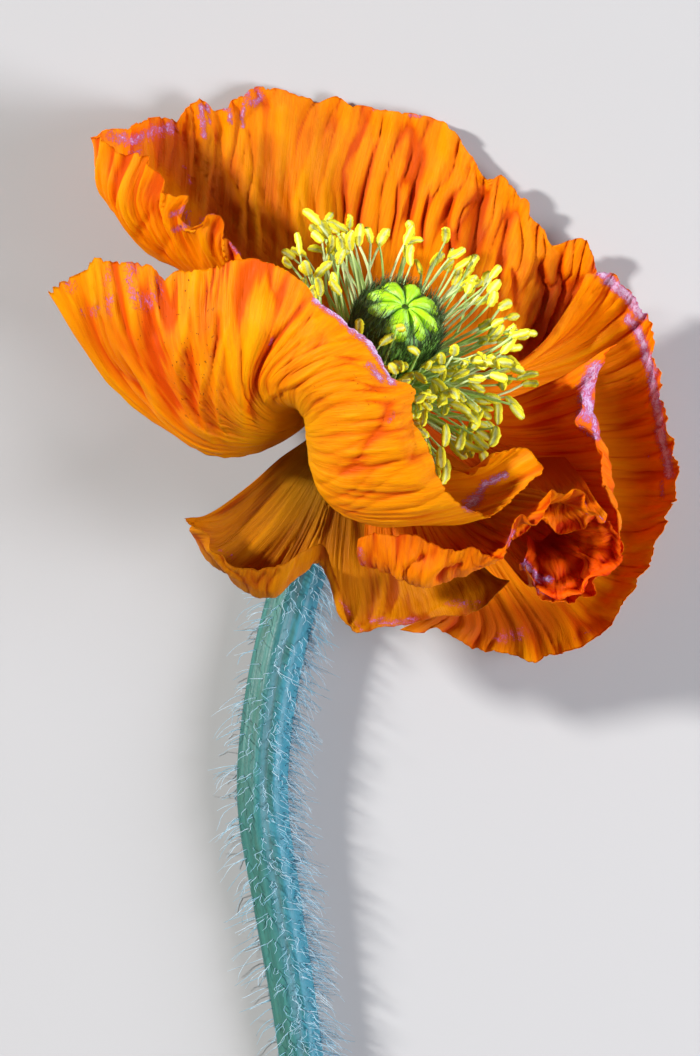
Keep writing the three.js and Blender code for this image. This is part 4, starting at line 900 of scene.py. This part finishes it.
ROW_PACKING = 0.85  # below 1, so that a petal's rows are closest together at its margin
NICKS = [(2.3, 0.014), (6, 0.016)]  # in the margin: waves for each of its ruffles, and depth
NICK_LIMITS = -0.005, 0.03
WIDEST = 1.15  # how far creases go on growing where ribs spread, against the margin
CLEAR_HEIGHT = 2  # above the table, from which a petal's folds are at their full height
RIDGE_SHARPNESS, RIDGE_LEVEL = 0.7, 0.8
CREASE_DRIFT = 0.35
DENT_LENGTH = 7  # of the dents across a petal
EDGE_CELLS, EDGE_SHARE = 3, 0.12  # how far in a petal thins out, and its thinnest share
# The folds of a petal with a flow run as in plan, told apart at FLOW_LEVEL. Before FLOW_RIB, on
# its folded side, they run along the ribs, FLOW_SPREAD times as close.
FLOW_LEVEL, FLOW_RIB, FLOW_SPREAD = 20, 5.5, 1.8


def from_line(points, line):
    """Distance from a line in plan, the side it is on, and how far along the line, 0 to 1."""
    x, y = points[..., 0], points[..., 1]
    line = np.array(line, float).reshape(-1, 2)
    best, side, place = np.full(x.shape, 1e9), np.zeros(x.shape), np.zeros(x.shape)
    lengths = np.linalg.norm(np.diff(line, axis=0), axis=1)
    so_far = np.concatenate([[0], np.cumsum(lengths)]) / lengths.sum()
    for k, (start, end) in enumerate(zip(line[:-1], line[1:])):
        dx, dy = (end - start) / lengths[k]
        px, py = x - start[0], y - start[1]
        t = np.clip(px * dx + py * dy, 0, lengths[k])
        away = np.hypot(px - t * dx, py - t * dy)
        nearer = away < best
        best = np.where(nearer, away, best)
        side = np.where(nearer, dx * py - dy * px, side)
        place = np.where(nearer, so_far[k] + t / lengths[k] * (so_far[k + 1] - so_far[k]), place)
    return best, side, place


def hand_folds(name, points, rib):
    """The single folds' height over a petal."""
    rise = np.zeros(points.shape[:2])
    for height, left, right, first, last, *line in FOLDS.get(name, []):
        away, side, place = from_line(points, line)
        width = np.where(side > 0, right, left)
        ends = smoothstep(place, -0.02, 0.22) * (1 - smoothstep(place, 0.8, 1.02))
        shape = np.exp(-np.abs(away / width) ** 1.35) * (0.15 + 0.85 * ends)
        rise = rise + height * shape * band(rib, first, last)[:, None]
    return rise


def brushed(strokes, points):
    """How strongly the strokes' mark lies on each point, seen from the top."""
    mark = np.zeros(points.shape[:2])
    for strength, width, *line in strokes:
        away = from_line(points, line)[0]
        mark = np.maximum(mark, strength * np.exp(-(away / width) ** 2))
    return mark


def settle(z):
    """Flattens what sinks to the table onto it."""
    floor = TABLE + THICKNESS / 2 + CONTACT_GAP
    t = np.clip(z - floor + CONTACT_BLEND, 0, None) / (2 * CONTACT_BLEND)
    return np.where(z - floor < CONTACT_BLEND, floor + CONTACT_BLEND * t * t, z)


def band(rib, first, last, soft=0.35):
    """1 between two ribs and 0 outside them."""
    return smoothstep(rib, first - soft, first + soft) \
        * (1 - smoothstep(rib, last - soft, last + soft))


def grid_normals(points):
    return unit(np.cross(np.gradient(points, axis=0), np.gradient(points, axis=1)))


def rib_net(petal, u, rib):
    """The part's own surface across u, as rows from the claw out to the margin."""
    margin, ribs = np.array(petal["margin"], float), np.array(petal["ribs"], float)
    if "claws" in petal:
        turn_from, turn_to, low, high = petal["claws"]
        claws = around_axis(turn_from + (turn_to - turn_from) * u, CLAW_DISTANCE + 0 * u,
                            low + (high - low) * u)
    else:
        claws = spline(petal["roots"], u)
    edge_at = np.interp(rib, margin[:, 0], np.arange(len(margin))) / (len(margin) - 1)
    rows = [spline(ribs[:, k], u) for k in range(ribs.shape[1])]
    return np.array([claws, *rows, spline(margin[:, 1:], edge_at)])


def pleat_wave(petal, random, u):
    """Pleats in step with the part's, up and down by turns."""
    draws = [next(random) for _ in range(petal["across"] + 1)]
    pleats = np.array([(1 if i % 2 else -1) * petal["pleat"] * (0.5 + 0.5 * d)
                       for i, d in enumerate(draws)])
    place = u * petal["across"]
    i = np.minimum(place.astype(int), petal["across"] - 1)
    w = 0.5 - 0.5 * np.cos(math.pi * (place - i))
    return pleats[i] * (1 - w) + pleats[i + 1] * w


def fold_lines(look, points, u, rib, x):
    """Where each point lies across the run of the folds, from about 0 to 1."""
    if "flow" not in look:
        return x
    level, slope = np.array(look["flow"]).T
    lines = points[..., 0] - np.interp(points[..., 0], level, slope) * (points[..., 1] - FLOW_LEVEL)
    lines = (lines - level[0]) / (level[-1] - level[0])
    # The folded side keeps to the ribs, from where the two agree.
    meet = np.mean(lines[np.abs(rib - FLOW_RIB) < 0.2, points.shape[1] // 2:])
    ribbed = meet + FLOW_SPREAD * (x - np.interp(FLOW_RIB, rib, u))
    far = smoothstep(rib, FLOW_RIB - 1.5, FLOW_RIB + 1)[:, None]
    return lines * far + ribbed * (1 - far)


def creased(look, lines, rib, x, y):
    """Sharp creases at each of the look's scales. The second scale's are valleys."""
    seed = look["seed"]
    drift = CREASE_DRIFT * noise(x * 9, y * 2.2, seed + 2)
    folds = 0 * x
    for k, (count, strength) in enumerate(look["creases"]):
        ridge = noise(lines * count + drift * (2 + k), y * (1.7 + 1.2 * k), seed + 3 + k)
        part = (2 * np.abs(ridge) ** RIDGE_SHARPNESS - RIDGE_LEVEL) * (-1 if k == 1 else 1)
        folds = folds + strength * part * (0.65 + 0.5 * noise(x * 7, y * 3, seed + 8 + k))
    if "calm" in look:
        first, last, strength = look["calm"]
        folds = folds * (1 - strength * band(rib, first, last, 2))[:, None]
    return folds


def two_faced(points, x, y):
    """Both faces of a petal, thinning out towards the free edges, and the quads of its skin."""
    rows, columns = points.shape[:2]
    edge = np.minimum(np.minimum(x, 1 - x) * (rows - 1), (1 - y) * (columns - 1)) / EDGE_CELLS
    half = THICKNESS / 2 * np.sqrt(np.clip(edge * (2 - edge), EDGE_SHARE, 1) * (edge < 1)
                                   + (edge >= 1))
    square = grid_normals(points)
    faces = np.stack([points + square * half[..., None], points - square * half[..., None]])
    total = rows * columns
    face = grid_faces(rows, columns)
    index = np.arange(total).reshape(rows, columns)
    border = np.concatenate([
        index[:-1, 0], index[-1, :-1], index[:0:-1, -1], index[0, :0:-1],
    ])
    after = np.roll(border, -1)
    rim = np.stack([border, after, after + total, border + total], -1)
    return faces, np.concatenate([face[:, ::-1], face + total, rim])


def make_petal(petal, random, material, slot):
    name = petal["name"]
    look = LOOKS[name]
    seed, (waves, ruffle) = look["seed"], look["ruffle"]
    across, along = look["grid"]
    u = np.linspace(0, 1, across + 1)
    v = np.linspace(0, 1, along + 1) ** ROW_PACKING
    x, y = u[:, None] + 0 * v[None, :], v[None, :] + 0 * u[:, None]
    rib = u * (len(petal["ribs"]) - 1)
    nicks = sum(depth * noise(u * waves * times, 0 * u, seed + k)
                for k, (times, depth) in enumerate(NICKS))
    reach = v[None, :] * (1 - np.clip(nicks, *NICK_LIMITS))[:, None]
    points = spline_grid(rib_net(petal, u, rib), reach)
    points[..., 2] = settle(points[..., 2])
    normals = grid_normals(points)
    spacing = np.linalg.norm(np.gradient(points, u, axis=0), axis=-1)
    size = np.mean(spacing[:, -1])
    width = np.clip(spacing / size, 0, WIDEST)
    fade = np.clip((points[..., 2] - TABLE) / CLEAR_HEIGHT, 0, 1)
    growth = smoothstep(y, 0.04, 0.45) * width * (0.3 + 0.7 * fade)

    # Pleats, creases, dents, a ruffled margin and single folds, all leaning a little.
    wave = pleat_wave(petal, random, u)
    rise = look["pleat"] * wave[:, None] * np.clip(1.6 * y, 0, 1) ** 2 * fade
    lines = fold_lines(look, points, u, rib, x)
    folds = creased(look, lines, rib, x, y)
    rise = rise + folds * growth
    rise = rise + look["crumple"] * noise(x * size / DENT_LENGTH, y * 4.5, seed + 12) * growth
    rim = smoothstep(y, 0.82, 1.0)
    rise = rise + ruffle * noise(x * waves, y * 3, seed + 14) * rim * (0.3 + 0.7 * fade)
    seen = hand_folds(name, points, rib) * np.clip(3 * normals[..., 2], -1, 1)
    rise = rise + seen * smoothstep(y, 0.03, 0.25) * (0.2 + 0.8 * fade)
    aslant = unit(np.gradient(points, axis=0))
    lean = look["lean"] * (0.6 + 0.8 * noise(x * 5, y * 1.5, seed + 20))
    moved = points + normals * rise[..., None] + aslant * (rise * lean * growth)[..., None]
    moved[..., 2] = np.maximum(moved[..., 2], TABLE + THICKNESS / 2)
    faces, quads = two_faced(moved, x, y)

    # What the material needs to know at each point of the two faces.
    # The folds' height, which the material turns into painted shade in the creases and painted
    # highlight on the ridges.
    crease_shading = folds / max(s for _, s in look["creases"]) + 0.6 * rise / max(petal["pleat"], 0.2)
    crease_shading = 0.6 * crease_shading + 0.8 * seen
    crease_shading = np.clip(crease_shading, -1, 1) * smoothstep(y, 0.05, 0.4)
    painted_sheen, painted_shade = brushed(PAINTED_SHEEN[name], moved), brushed(PAINTED_SHADE[name], moved)
    stain = 0 * y
    for first, last, from_claw, strength in look.get("stain", []):
        mark = band(rib, first, last)[:, None] * smoothstep(y, from_claw, from_claw + 0.15)
        stain = np.maximum(stain, strength * mark)
    marks = {
        "reach": [y, y], "fold": [crease_shading, -crease_shading], "painted_sheen": [painted_sheen, painted_sheen],
        "stain": [stain, stain], "painted_shade": [painted_shade, painted_shade * 0.3],
    }
    length = np.mean(np.linalg.norm(np.diff(points, axis=1), axis=-1).sum(1))
    uv = np.stack([lines * size, y * length], -1)
    piece = make_piece(name + "_skin", faces, quads, material=material, slot=slot, marks=marks,
                       uv=np.stack([uv, uv]))
    if "claws" in petal:
        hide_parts(name)


# Each petal's material slot, and its claw, body, bright, deep, dark and glow colours. Bright also
# gives the painted highlight on ridges, deep the painted shade in creases, and dark is the colour
# of painted shade.
ORANGE = [(236, 132, 0), (252, 142, 0), (255, 174, 0), (214, 80, 0), (162, 56, 0), (255, 108, 0)]
FINISHES = {
    "petal_back": ("petal_orange", ORANGE),
    "petal_right": ("petal_orange", ORANGE),
    # A darker copy of the orange: painted shade on this petal.
    "petal_lower": ("petal_amber", [
        (156, 120, 0), (194, 112, 0), (220, 140, 0), (158, 66, 0), (122, 44, 0), (208, 98, 0),
    ]),
    # A redder, darker copy of the orange: painted shade in the hollow this petal lines.
    "petal_inner_right": ("petal_red", [
        (224, 88, 0), (252, 124, 0), (255, 154, 0), (214, 58, 0), (156, 16, 0), (255, 80, 0),
    ]),
    # A slightly darker copy of the orange: painted shade.
    "petal_inner_fold": ("petal_orange", [
        (214, 104, 0), (234, 120, 0), (250, 150, 0), (196, 62, 0), (146, 28, 0), (246, 80, 0),
    ]),
    "petal_front": ("petal_orange", [
        (206, 166, 0), (250, 148, 0), (255, 184, 0), (222, 86, 0), (206, 60, 0), (255, 112, 0),
    ]),
    # Both crumples are redder, darker copies of the orange: painted shade deep in the hollow.
    "crumple_upper": ("petal_orange", [
        (206, 60, 0), (244, 112, 0), (255, 146, 0), (204, 44, 0), (150, 14, 0), (255, 70, 0),
    ]),
    "crumple_lower": ("petal_red", [
        (190, 24, 0), (242, 84, 0), (255, 118, 6), (196, 28, 0), (150, 6, 0), (255, 44, 0),
    ]),
}
PLEAT_SEED = 7  # the part's own

pleat_random = seeded(PLEAT_SEED)
for petal in PETALS + CRUMPLES:
    slot_name, colours = FINISHES[petal["name"]]
    skin = petal_material(petal["name"] + "_satin", *(rgb(*colour) for colour in colours))
    make_petal(petal, pleat_random, skin, slot_name)


# ---------------------------------------------------------------- stem

STEM_SIDES, STEM_STEPS, STEM_LENGTH = 96, 180, 96
PART_STEPS = 24  # rings on the part's own stem, which starts half a step down
STRANDS, STRAND_DEPTH = 31, 0.008
GROOVE_DEPTH, GROOVE_TURN, GROOVE_WIDTH = 0.07, 0.28, 0.22
# The receptacle as [height, radius], and the cut end as [part of the radius, depth].
STEM_HEAD = [
    [RECEPTACLE_TOP, 0.4], [RECEPTACLE_TOP, RECEPTACLE_RADIUS - 0.6],
    [RECEPTACLE_TOP - 0.5, RECEPTACLE_RADIUS], [RECEPTACLE_BOTTOM + 1, RECEPTACLE_RADIUS],
    [RECEPTACLE_BOTTOM, RECEPTACLE_RADIUS - 0.4],
]
STEM_CUT = [[0.93, 0.1], [0.8, 0.05], [0.55, -0.12], [0.25, -0.3], [0.04, -0.34]]
STEM_HAIRS, STEM_HAIR_STEPS = 2000, 7
STEM_HAIR_SEED = 23
STEM_HAIR_LENGTH = 1.4, 4.1
HAIR_ROOT = 0.05  # how far under the skin a hair starts
STEM_CLEARANCE, HAIR_CLEARANCE = 0.005, 0.1  # above the table


def stem_rings():
    """Places, centres, directions and radii of the stem's rings, from the receptacle down."""
    t = (np.arange(1, STEM_STEPS + 1) * PART_STEPS / STEM_STEPS + 0.5) / (PART_STEPS + 0.5)
    line = spline(STEM_LINE, t)
    tangent = unit(np.gradient(line, axis=0))
    across = unit(np.stack([-tangent[:, 1], tangent[:, 0], 0 * t], -1))
    up = -np.cross(tangent, across)
    taper = smoothstep(t, 0.5, 0.9) + 1 - smoothstep(t, 0, 0.2)
    radius = STEM_RADIUS + (STEM_END_RADIUS - STEM_RADIUS) * taper
    return t, line, tangent, across, up, radius


def from_top(angle):
    """The angle from the top of the lying stem, positive to its right."""
    return (angle + 1.5 * math.pi) % (2 * math.pi) - math.pi


def stem_surface(angle, t):
    """How far the skin stands out there, as a part of the radius."""
    ridge = STEM_RIDGE_DEPTH * np.cos(STEM_RIDGES * angle)
    strand = STRAND_DEPTH * np.cos(STRANDS * angle + 3 * t)
    groove = -GROOVE_DEPTH * np.exp(-((from_top(angle) - GROOVE_TURN) / GROOVE_WIDTH) ** 2)
    return 1 + ridge + strand + groove


def make_stem(material, hair):
    t, line, tangent, across, up, radius = stem_rings()
    a = turn_of(STEM_SIDES)
    around = across[:, None] * np.cos(a)[:, None] + up[:, None] * np.sin(a)[:, None]
    swell = stem_surface(a[None, :], t[:, None])
    body = line[:, None] + around * (radius[:, None] * swell)[..., None]
    ring = SIDE * np.cos(a)[:, None] + BACK * np.sin(a)[:, None]
    head = [AXIS * height + ring * size for height, size in STEM_HEAD]
    end = [line[-1] + (body[-1] - line[-1]) * size + tangent[-1] * depth
           for size, depth in STEM_CUT]
    points = np.concatenate([np.array(head), body, np.array(end)])
    points[..., 2] = np.maximum(points[..., 2], TABLE + STEM_CLEARANCE)
    rings = len(points)
    cut = np.zeros((rings, STEM_SIDES))
    cut[1 - len(STEM_CUT):] = 1
    length = np.linspace(0, STEM_LENGTH, rings)[:, None] + 0 * a
    turn = from_top(a)[None, :] + 0 * length
    piece = make_piece("stem_skin", points, *tube_faces(rings, STEM_SIDES), material, "stem_green",
                       {"cut": cut, "turn": turn}, np.stack([turn * 3, length], -1))
    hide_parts("stem")

    # Hairs: dense on the right and along the groove, combed outwards and down.
    rng = np.random.default_rng(STEM_HAIR_SEED)
    count = STEM_HAIRS
    at = rng.uniform(0.1, 0.955, count)
    right = rng.uniform(0, 1, count) < 0.52
    angle = np.where(right, rng.normal(0, 0.75, count), rng.uniform(0, 2 * math.pi, count))
    angle = np.where(rng.uniform(0, 1, count) < 0.08, rng.normal(-1.3, 0.4, count), angle)
    k = np.interp(at, t, np.arange(len(t)))
    lower, part = k.astype(int), (k % 1)[:, None]
    lower = np.minimum(lower, len(t) - 2)

    def between(values):
        values = values if values.ndim > 1 else values[:, None]
        return values[lower] * (1 - part) + values[lower + 1] * part

    out = unit(between(across) * np.cos(angle)[:, None] + between(up) * np.sin(angle)[:, None])
    skin_at = between(radius) * stem_surface(angle, at)[:, None]
    root = between(line) + out * (skin_at - HAIR_ROOT)
    down = unit(between(tangent))
    aside = np.cross(out, down)
    length = rng.uniform(*STEM_HAIR_LENGTH, count)[:, None] * np.where(out[:, 2:] > 0.6, 0.65, 1)
    droop = rng.uniform(0.1, 1.0, count)[:, None]
    curl = rng.normal(0, 0.75, count)[:, None]
    twist = rng.uniform(0, 6.3, count)[:, None]
    s = np.linspace(0, 1, STEM_HAIR_STEPS)[None, :]
    bend = s ** 1.7
    reach = length * (s - 0.25 * droop * s ** 2)
    sink = length * (0.1 * s + droop * 0.75 * bend)
    sway = length * (curl * bend * 0.6 + 0.12 * np.sin(twist + s * 8) * s)
    paths = root[:, None] + out[:, None] * reach[..., None] + down[:, None] * sink[..., None] \
        + aside[:, None] * sway[..., None]
    paths[..., 2] = np.maximum(paths[..., 2], TABLE + HAIR_CLEARANCE)
    thick = (0.054 - 0.034 * s) * rng.uniform(0.8, 1.2, count)[:, None]
    make_hairs("stem_hairs", paths, thick, aside + 0.3 * down, rng.uniform(0, 1, count), hair,
               "stem_green")


silver = hair_material("hair_silver", rgb(132, 192, 214), rgb(208, 230, 242), 0.3)
make_stem(stem_material(), silver)


# ---------------------------------------------------------------- pistil

OVARY_SIDES, OVARY_STEPS = 120, 70
STIGMA_SIDES, STIGMA_STEPS = 240, 56
OVARY_HAIRS, OVARY_HAIR_STEPS = 3000, 4
OVARY_HAIR_SEED, STIGMA_SEED = 29, 31
OVARY_HAIR_LENGTH = 1.0, 2.3
OVARY_RIB_DEPTH = 0.012
LOBE_DEPTH, PUFF_DEPTH = 0.17, 0.07  # of the stigma's lobes, as parts of its radius


def on_axis(radius, height, angle):
    """Points round the flower's axis, by an angle in radians."""
    return around_axis(np.degrees(angle), radius, height)


def make_pistil():
    a = turn_of(OVARY_SIDES)
    barrel = spline(BARREL, np.linspace(0, 1, OVARY_STEPS))
    up = barrel[:, 1:] + 0 * a
    turn = a[None, :] + 0 * up
    grown = smoothstep(barrel[:, 1:], 0.2, 0.5)
    ribbed = 1 + OVARY_RIB_DEPTH * np.cos(STIGMA_RAYS * a)[None, :] * grown
    points = on_axis(np.maximum(barrel[:, :1] * OVARY_RADIUS * ribbed, 0.02),
                     PISTIL_BASE + up * PISTIL_HEIGHT, turn)
    # Where painted light falls on the ovary's right side.
    rightward = smoothstep(np.cos(a - PAINTED_LIGHT_TURN), 0.2, 0.9)[None, :] + 0 * up
    body = make_piece("ovary", points, *tube_faces(OVARY_STEPS, OVARY_SIDES, True),
                      ovary_material(), "pistil_green", {"up": up, "rightward": rightward},
                      np.stack([turn * OVARY_RADIUS, up * PISTIL_HEIGHT], -1))
    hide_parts("pistil")

    # The stigma: puffy lobes of unlike width, from a dimple in the middle over the shoulder.
    a, s = turn_of(STIGMA_SIDES), np.linspace(0, 1, STIGMA_STEPS)
    turn, out = a[None, :] + 0 * s[:, None], s[:, None] + 0 * a
    uneven = a + 0.11 * np.sin(2 * a + 0.7) + 0.07 * np.sin(3 * a + 2.2)
    lobe = np.abs(np.cos(STIGMA_RAYS * uneven / 2)) ** 0.62
    shape = spline(STIGMA_PROFILE, s)
    far = smoothstep(s, 0.25, 0.75)[:, None]
    puff = noise(uneven * STIGMA_RAYS / (2 * math.pi) + 0.5, 0 * a, STIGMA_SEED)
    radius = shape[:, :1] * (1 - LOBE_DEPTH * far * (1 - lobe)) * (1 + PUFF_DEPTH * puff * far)
    dip = (1 - lobe) * (0.075 * smoothstep(s, 0.05, 0.4)[:, None] + 0.035 * far)
    rise = 0.07 * far * (1 - lobe) * (s > 0.6)[:, None]
    swell = 0.028 * puff * smoothstep(s, 0.12, 0.5)[:, None]
    high = shape[:, 1:] - dip + rise + swell
    ripple = 0.009 * noise(turn * 7, out * 8, STIGMA_SEED + 2)
    ripple = ripple + 0.004 * noise(turn * 19, out * 22, STIGMA_SEED + 4)
    points = on_axis(np.maximum(radius, 0.004) * OVARY_RADIUS * (1 + ripple),
                     PISTIL_BASE + (high + ripple) * PISTIL_HEIGHT, turn)
    make_piece("stigma", points, *tube_faces(STIGMA_STEPS, STIGMA_SIDES), stigma_material(),
               "pistil_green", {"out": out, "lobe": lobe[None, :] + 0 * out},
               np.stack([turn * 5, out * 8], -1))

    # Stiff dark hairs that stand up from the ovary.
    rng = np.random.default_rng(OVARY_HAIR_SEED)
    count = OVARY_HAIRS
    at, angle = rng.uniform(0.2, 0.93, count), rng.uniform(0, 2 * math.pi, count)
    place = np.searchsorted(barrel[:, 1], at)
    radius = barrel[np.minimum(place, len(barrel) - 1), 0]
    root = on_axis(radius * OVARY_RADIUS - 0.06, PISTIL_BASE + at * PISTIL_HEIGHT, angle)
    out = on_axis(1 + 0 * at, 0 * at, angle)
    aside = np.cross(AXIS, out)
    length = rng.uniform(*OVARY_HAIR_LENGTH, count)[:, None]
    lean = rng.uniform(0.15, 0.5, count)[:, None]
    sway = rng.normal(0, 0.16, count)[:, None]
    s = np.linspace(0, 1, OVARY_HAIR_STEPS)[None, :]
    inward = np.clip(at - 0.6, 0, 1)[:, None] * 0.9
    paths = root[:, None] + length[..., None] * (
        AXIS * s[..., None] + out[:, None] * ((lean - inward) * s - 0.1 * s * s)[..., None]
        + aside[:, None] * (sway * s)[..., None])
    thick = 0.04 - 0.024 * s + 0 * length
    dark = hair_material("hair_dark", rgb(26, 34, 8), rgb(112, 150, 90), 0.15)
    make_hairs("ovary_hairs", paths, thick, out, rng.uniform(0, 1, count) ** 2, dark,
               "pistil_green")


make_pistil()


# ---------------------------------------------------------------- stamens

FILAMENT_STEPS, FILAMENT_SIDES, COLLAR_SIDES = 12, 6, 96
ANTHER_STEPS, ANTHER_SIDES = 13, 16
ANTHER_LENGTH, ANTHER_WIDTH, ANTHER_DEPTH = (2.2, 3.6), 0.52, 0.3
FILAMENT_WIDTH, FILAMENT_TAPER = 0.2, 0.07  # across, at the foot, and how much is lost
STAMEN_SEED, LUMP_SEED = 41, 43


def draw_stamens(rng):
    """Every stamen as [angle, distance, height, lean, length]."""
    rows = []
    for t, (count, distance, height, usual_lean, usual_length) in enumerate(STAMEN_TIERS):
        for k in range(count):
            angle = (k + 0.31 * t + 0.8 * (rng.random() - 0.5)) * 360 / count
            pressed = max(math.cos(math.radians(angle - PRESSED_SIDE)), 0)
            lean = usual_lean + (PRESSED_LEAN - usual_lean) * pressed + rng.normal(0, 6)
            length = usual_length * rng.uniform(0.84, 1.14) * (1 - 0.22 * pressed)
            rows.append((angle, distance, height, lean, length))
    for count, *ranges in STAMEN_BUNCHES:
        for _ in range(count):
            angle, lean, length = (rng.uniform(*limits) for limits in ranges)
            distance, height = rng.uniform(*BUNCH_DISTANCE), rng.uniform(*BUNCH_HEIGHT)
            rows.append((angle, distance, height, lean, length))
    return np.array(rows)


def dent(angle, at, width):
    """A groove down a tube at an angle, 1 at its middle."""
    return np.exp(-(np.sin((angle - at) / 2) / width) ** 2)


def make_stamens():
    rng = np.random.default_rng(STAMEN_SEED)
    angle, distance, height, lean, length = draw_stamens(rng).T
    count = len(angle)
    s = np.linspace(-0.03, 1, FILAMENT_STEPS)[None, :]
    bow = rng.normal(8, 12, count)[:, None]
    theta = np.radians(lean[:, None] + bow * (1 - s) * 1.1 - 3)
    far = length[:, None] * s
    swing = np.radians(rng.normal(0, 8, count))[:, None] * s * s
    paths = on_axis(distance[:, None] + far * np.sin(theta), height[:, None] + far * np.cos(theta),
                    np.radians(angle)[:, None] + swing)
    shake = rng.normal(0, 0.22, (count, 3))
    paths = paths + shake[:, None] * np.sin(s * math.pi)[..., None]
    strays = np.array([spline([STRAY_ROOT, bend, tip], s[0]) for bend, tip in STRAYS])
    paths = np.concatenate([paths, strays])
    count = len(paths)
    facing = np.array([0, 0, 1]) + rng.normal(0, 0.3, (count, 3))
    thick = (FILAMENT_WIDTH - FILAMENT_TAPER * s) * rng.uniform(0.8, 1.2, count)[:, None]
    tone = rng.uniform(0, 1, count)
    points, quads, caps, place, _ = tubes(paths, thick, thick * 0.8, facing, FILAMENT_SIDES)

    # The collar that the filaments grow from.
    ring = np.array(STAMEN_RING + STAMEN_RING[:1], float)
    a = turn_of(COLLAR_SIDES)
    collar = on_axis(ring[:, :1] + 0 * a, ring[:, 1:] + 0 * a, a + 0 * ring[:, :1]).reshape(-1, 3)
    quads = np.concatenate([quads, grid_faces(len(ring), COLLAR_SIDES, len(points), True)])
    tones = np.repeat(tone, FILAMENT_STEPS * FILAMENT_SIDES)
    marks = {
        "along": np.concatenate([place, np.zeros(len(collar))]),
        "tone": np.concatenate([tones, np.full(len(collar), 0.4)]),
    }
    body = make_piece("filaments", np.concatenate([points, collar]), quads, caps,
                      filament_material(), "stamen_yellow", marks)
    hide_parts("stamens")

    # Anthers: two knobbly pollen sacs that curl round a pale seam.
    neck, rise = paths[:, -1], unit(paths[:, -1] - paths[:, -3])
    nod = rng.normal(0, 0.45, (count, 3))
    hanging = np.clip((1.5 - neck[:, 1:2]) / 6, 0, 1) * np.array([0.1, -1.1, 0])
    tip = unit(rise + nod + hanging)
    curl = unit(np.cross(tip, rng.normal(0, 1, (count, 3)))) * rng.uniform(0.1, 1.1, (count, 1))
    size = rng.uniform(*ANTHER_LENGTH, count)[:, None]
    s = np.linspace(0, 1, ANTHER_STEPS)[None, :]
    line = neck[:, None] + tip[:, None] * ((s - 0.06) * size * (1 - 0.22 * s))[..., None] \
        + curl[:, None] * (s * s * size * 0.42)[..., None]
    round_off = np.sqrt(np.clip(1 - np.abs(2 * s - 1) ** 3.2, 0.02, 1))
    lumps = 1 + 0.16 * noise(s * 7 + 0 * size, 7.3 * np.arange(count)[:, None] + 0 * s,
                            LUMP_SEED)
    width = ANTHER_WIDTH * round_off * lumps * rng.uniform(0.8, 1.15, count)[:, None]
    depth = ANTHER_DEPTH * round_off * rng.uniform(0.8, 1.15, count)[:, None]
    front, back = math.pi / 2, -math.pi / 2
    points, quads, caps, place, turn = tubes(
        line, width, depth, facing + 0.4 * nod, ANTHER_SIDES,
        lambda a: 1 - 0.5 * dent(a, front, 0.26) - 0.2 * dent(a, back, 0.2))
    points = points + rng.normal(0, 0.034, points.shape)
    seam = np.maximum(dent(turn, front, 0.3), 0.7 * dent(turn, back, 0.25))
    marks = {"seam": seam, "tone": np.repeat(tone, ANTHER_STEPS * ANTHER_SIDES)}
    make_piece("anthers", points, quads, caps, anther_material(), "stamen_yellow", marks)


make_stamens()


# ---------------------------------------------------------------- the studio

FLOOR_REACH = 1.5
LIT_PLACE = (0, 0.02, 0.01)  # where the lights aim
# Each light as (name, place, size, power, colour).
LIGHTS = [
    ("key", (-1.42, 0.62, 1.0), 0.2, 55.0, (1, 0.98, 0.95)),
    ("fill", (0.75, -0.3, 0.72), 0.5, 9.0, (0.98, 0.97, 1)),
    ("rim", (0.6, -0.02, 0.3), 0.4, 3.0, (0.84, 0.87, 1)),
]
WORLD_STRENGTH = 0.15
CAMERA_PLACE = (-0.001811, 0.011275, 2.015882)
CAMERA_LENS, CAMERA_SENSOR = 592.9, 36
CAMERA_RANGE = 0.5, 5

far = FLOOR_REACH
floor_mesh = bpy.data.meshes.new("floor")
floor_mesh.from_pydata([(-far, -far, 0), (far, -far, 0), (far, far, 0), (-far, far, 0)], [],
                       [(0, 1, 2, 3)])
floor_mesh.materials.append(floor_material())
floor = placed("floor", floor_mesh)

for name, place, size, power, colour in LIGHTS:
    data = bpy.data.lights.new(name, "AREA")
    data.shape, data.size, data.energy, data.color = "DISK", size, power, colour
    light = placed(name, data)
    light.location = place
    towards = Vector(LIT_PLACE) - Vector(place)
    light.rotation_euler = towards.to_track_quat("-Z", "Y").to_euler()

world = bpy.data.worlds.new("studio")
world.use_nodes = True
background = world.node_tree.nodes["Background"].inputs
background["Color"].default_value = (1, 1, 1, 1)
background["Strength"].default_value = WORLD_STRENGTH
bpy.context.scene.world = world
bpy.context.scene.view_settings.view_transform = "Standard"

camera_data = bpy.data.cameras.new("camera")
camera_data.lens, camera_data.sensor_width = CAMERA_LENS, CAMERA_SENSOR
camera_data.clip_start, camera_data.clip_end = CAMERA_RANGE
camera = placed("camera", camera_data)
camera.location = CAMERA_PLACE
bpy.context.scene.camera = camera
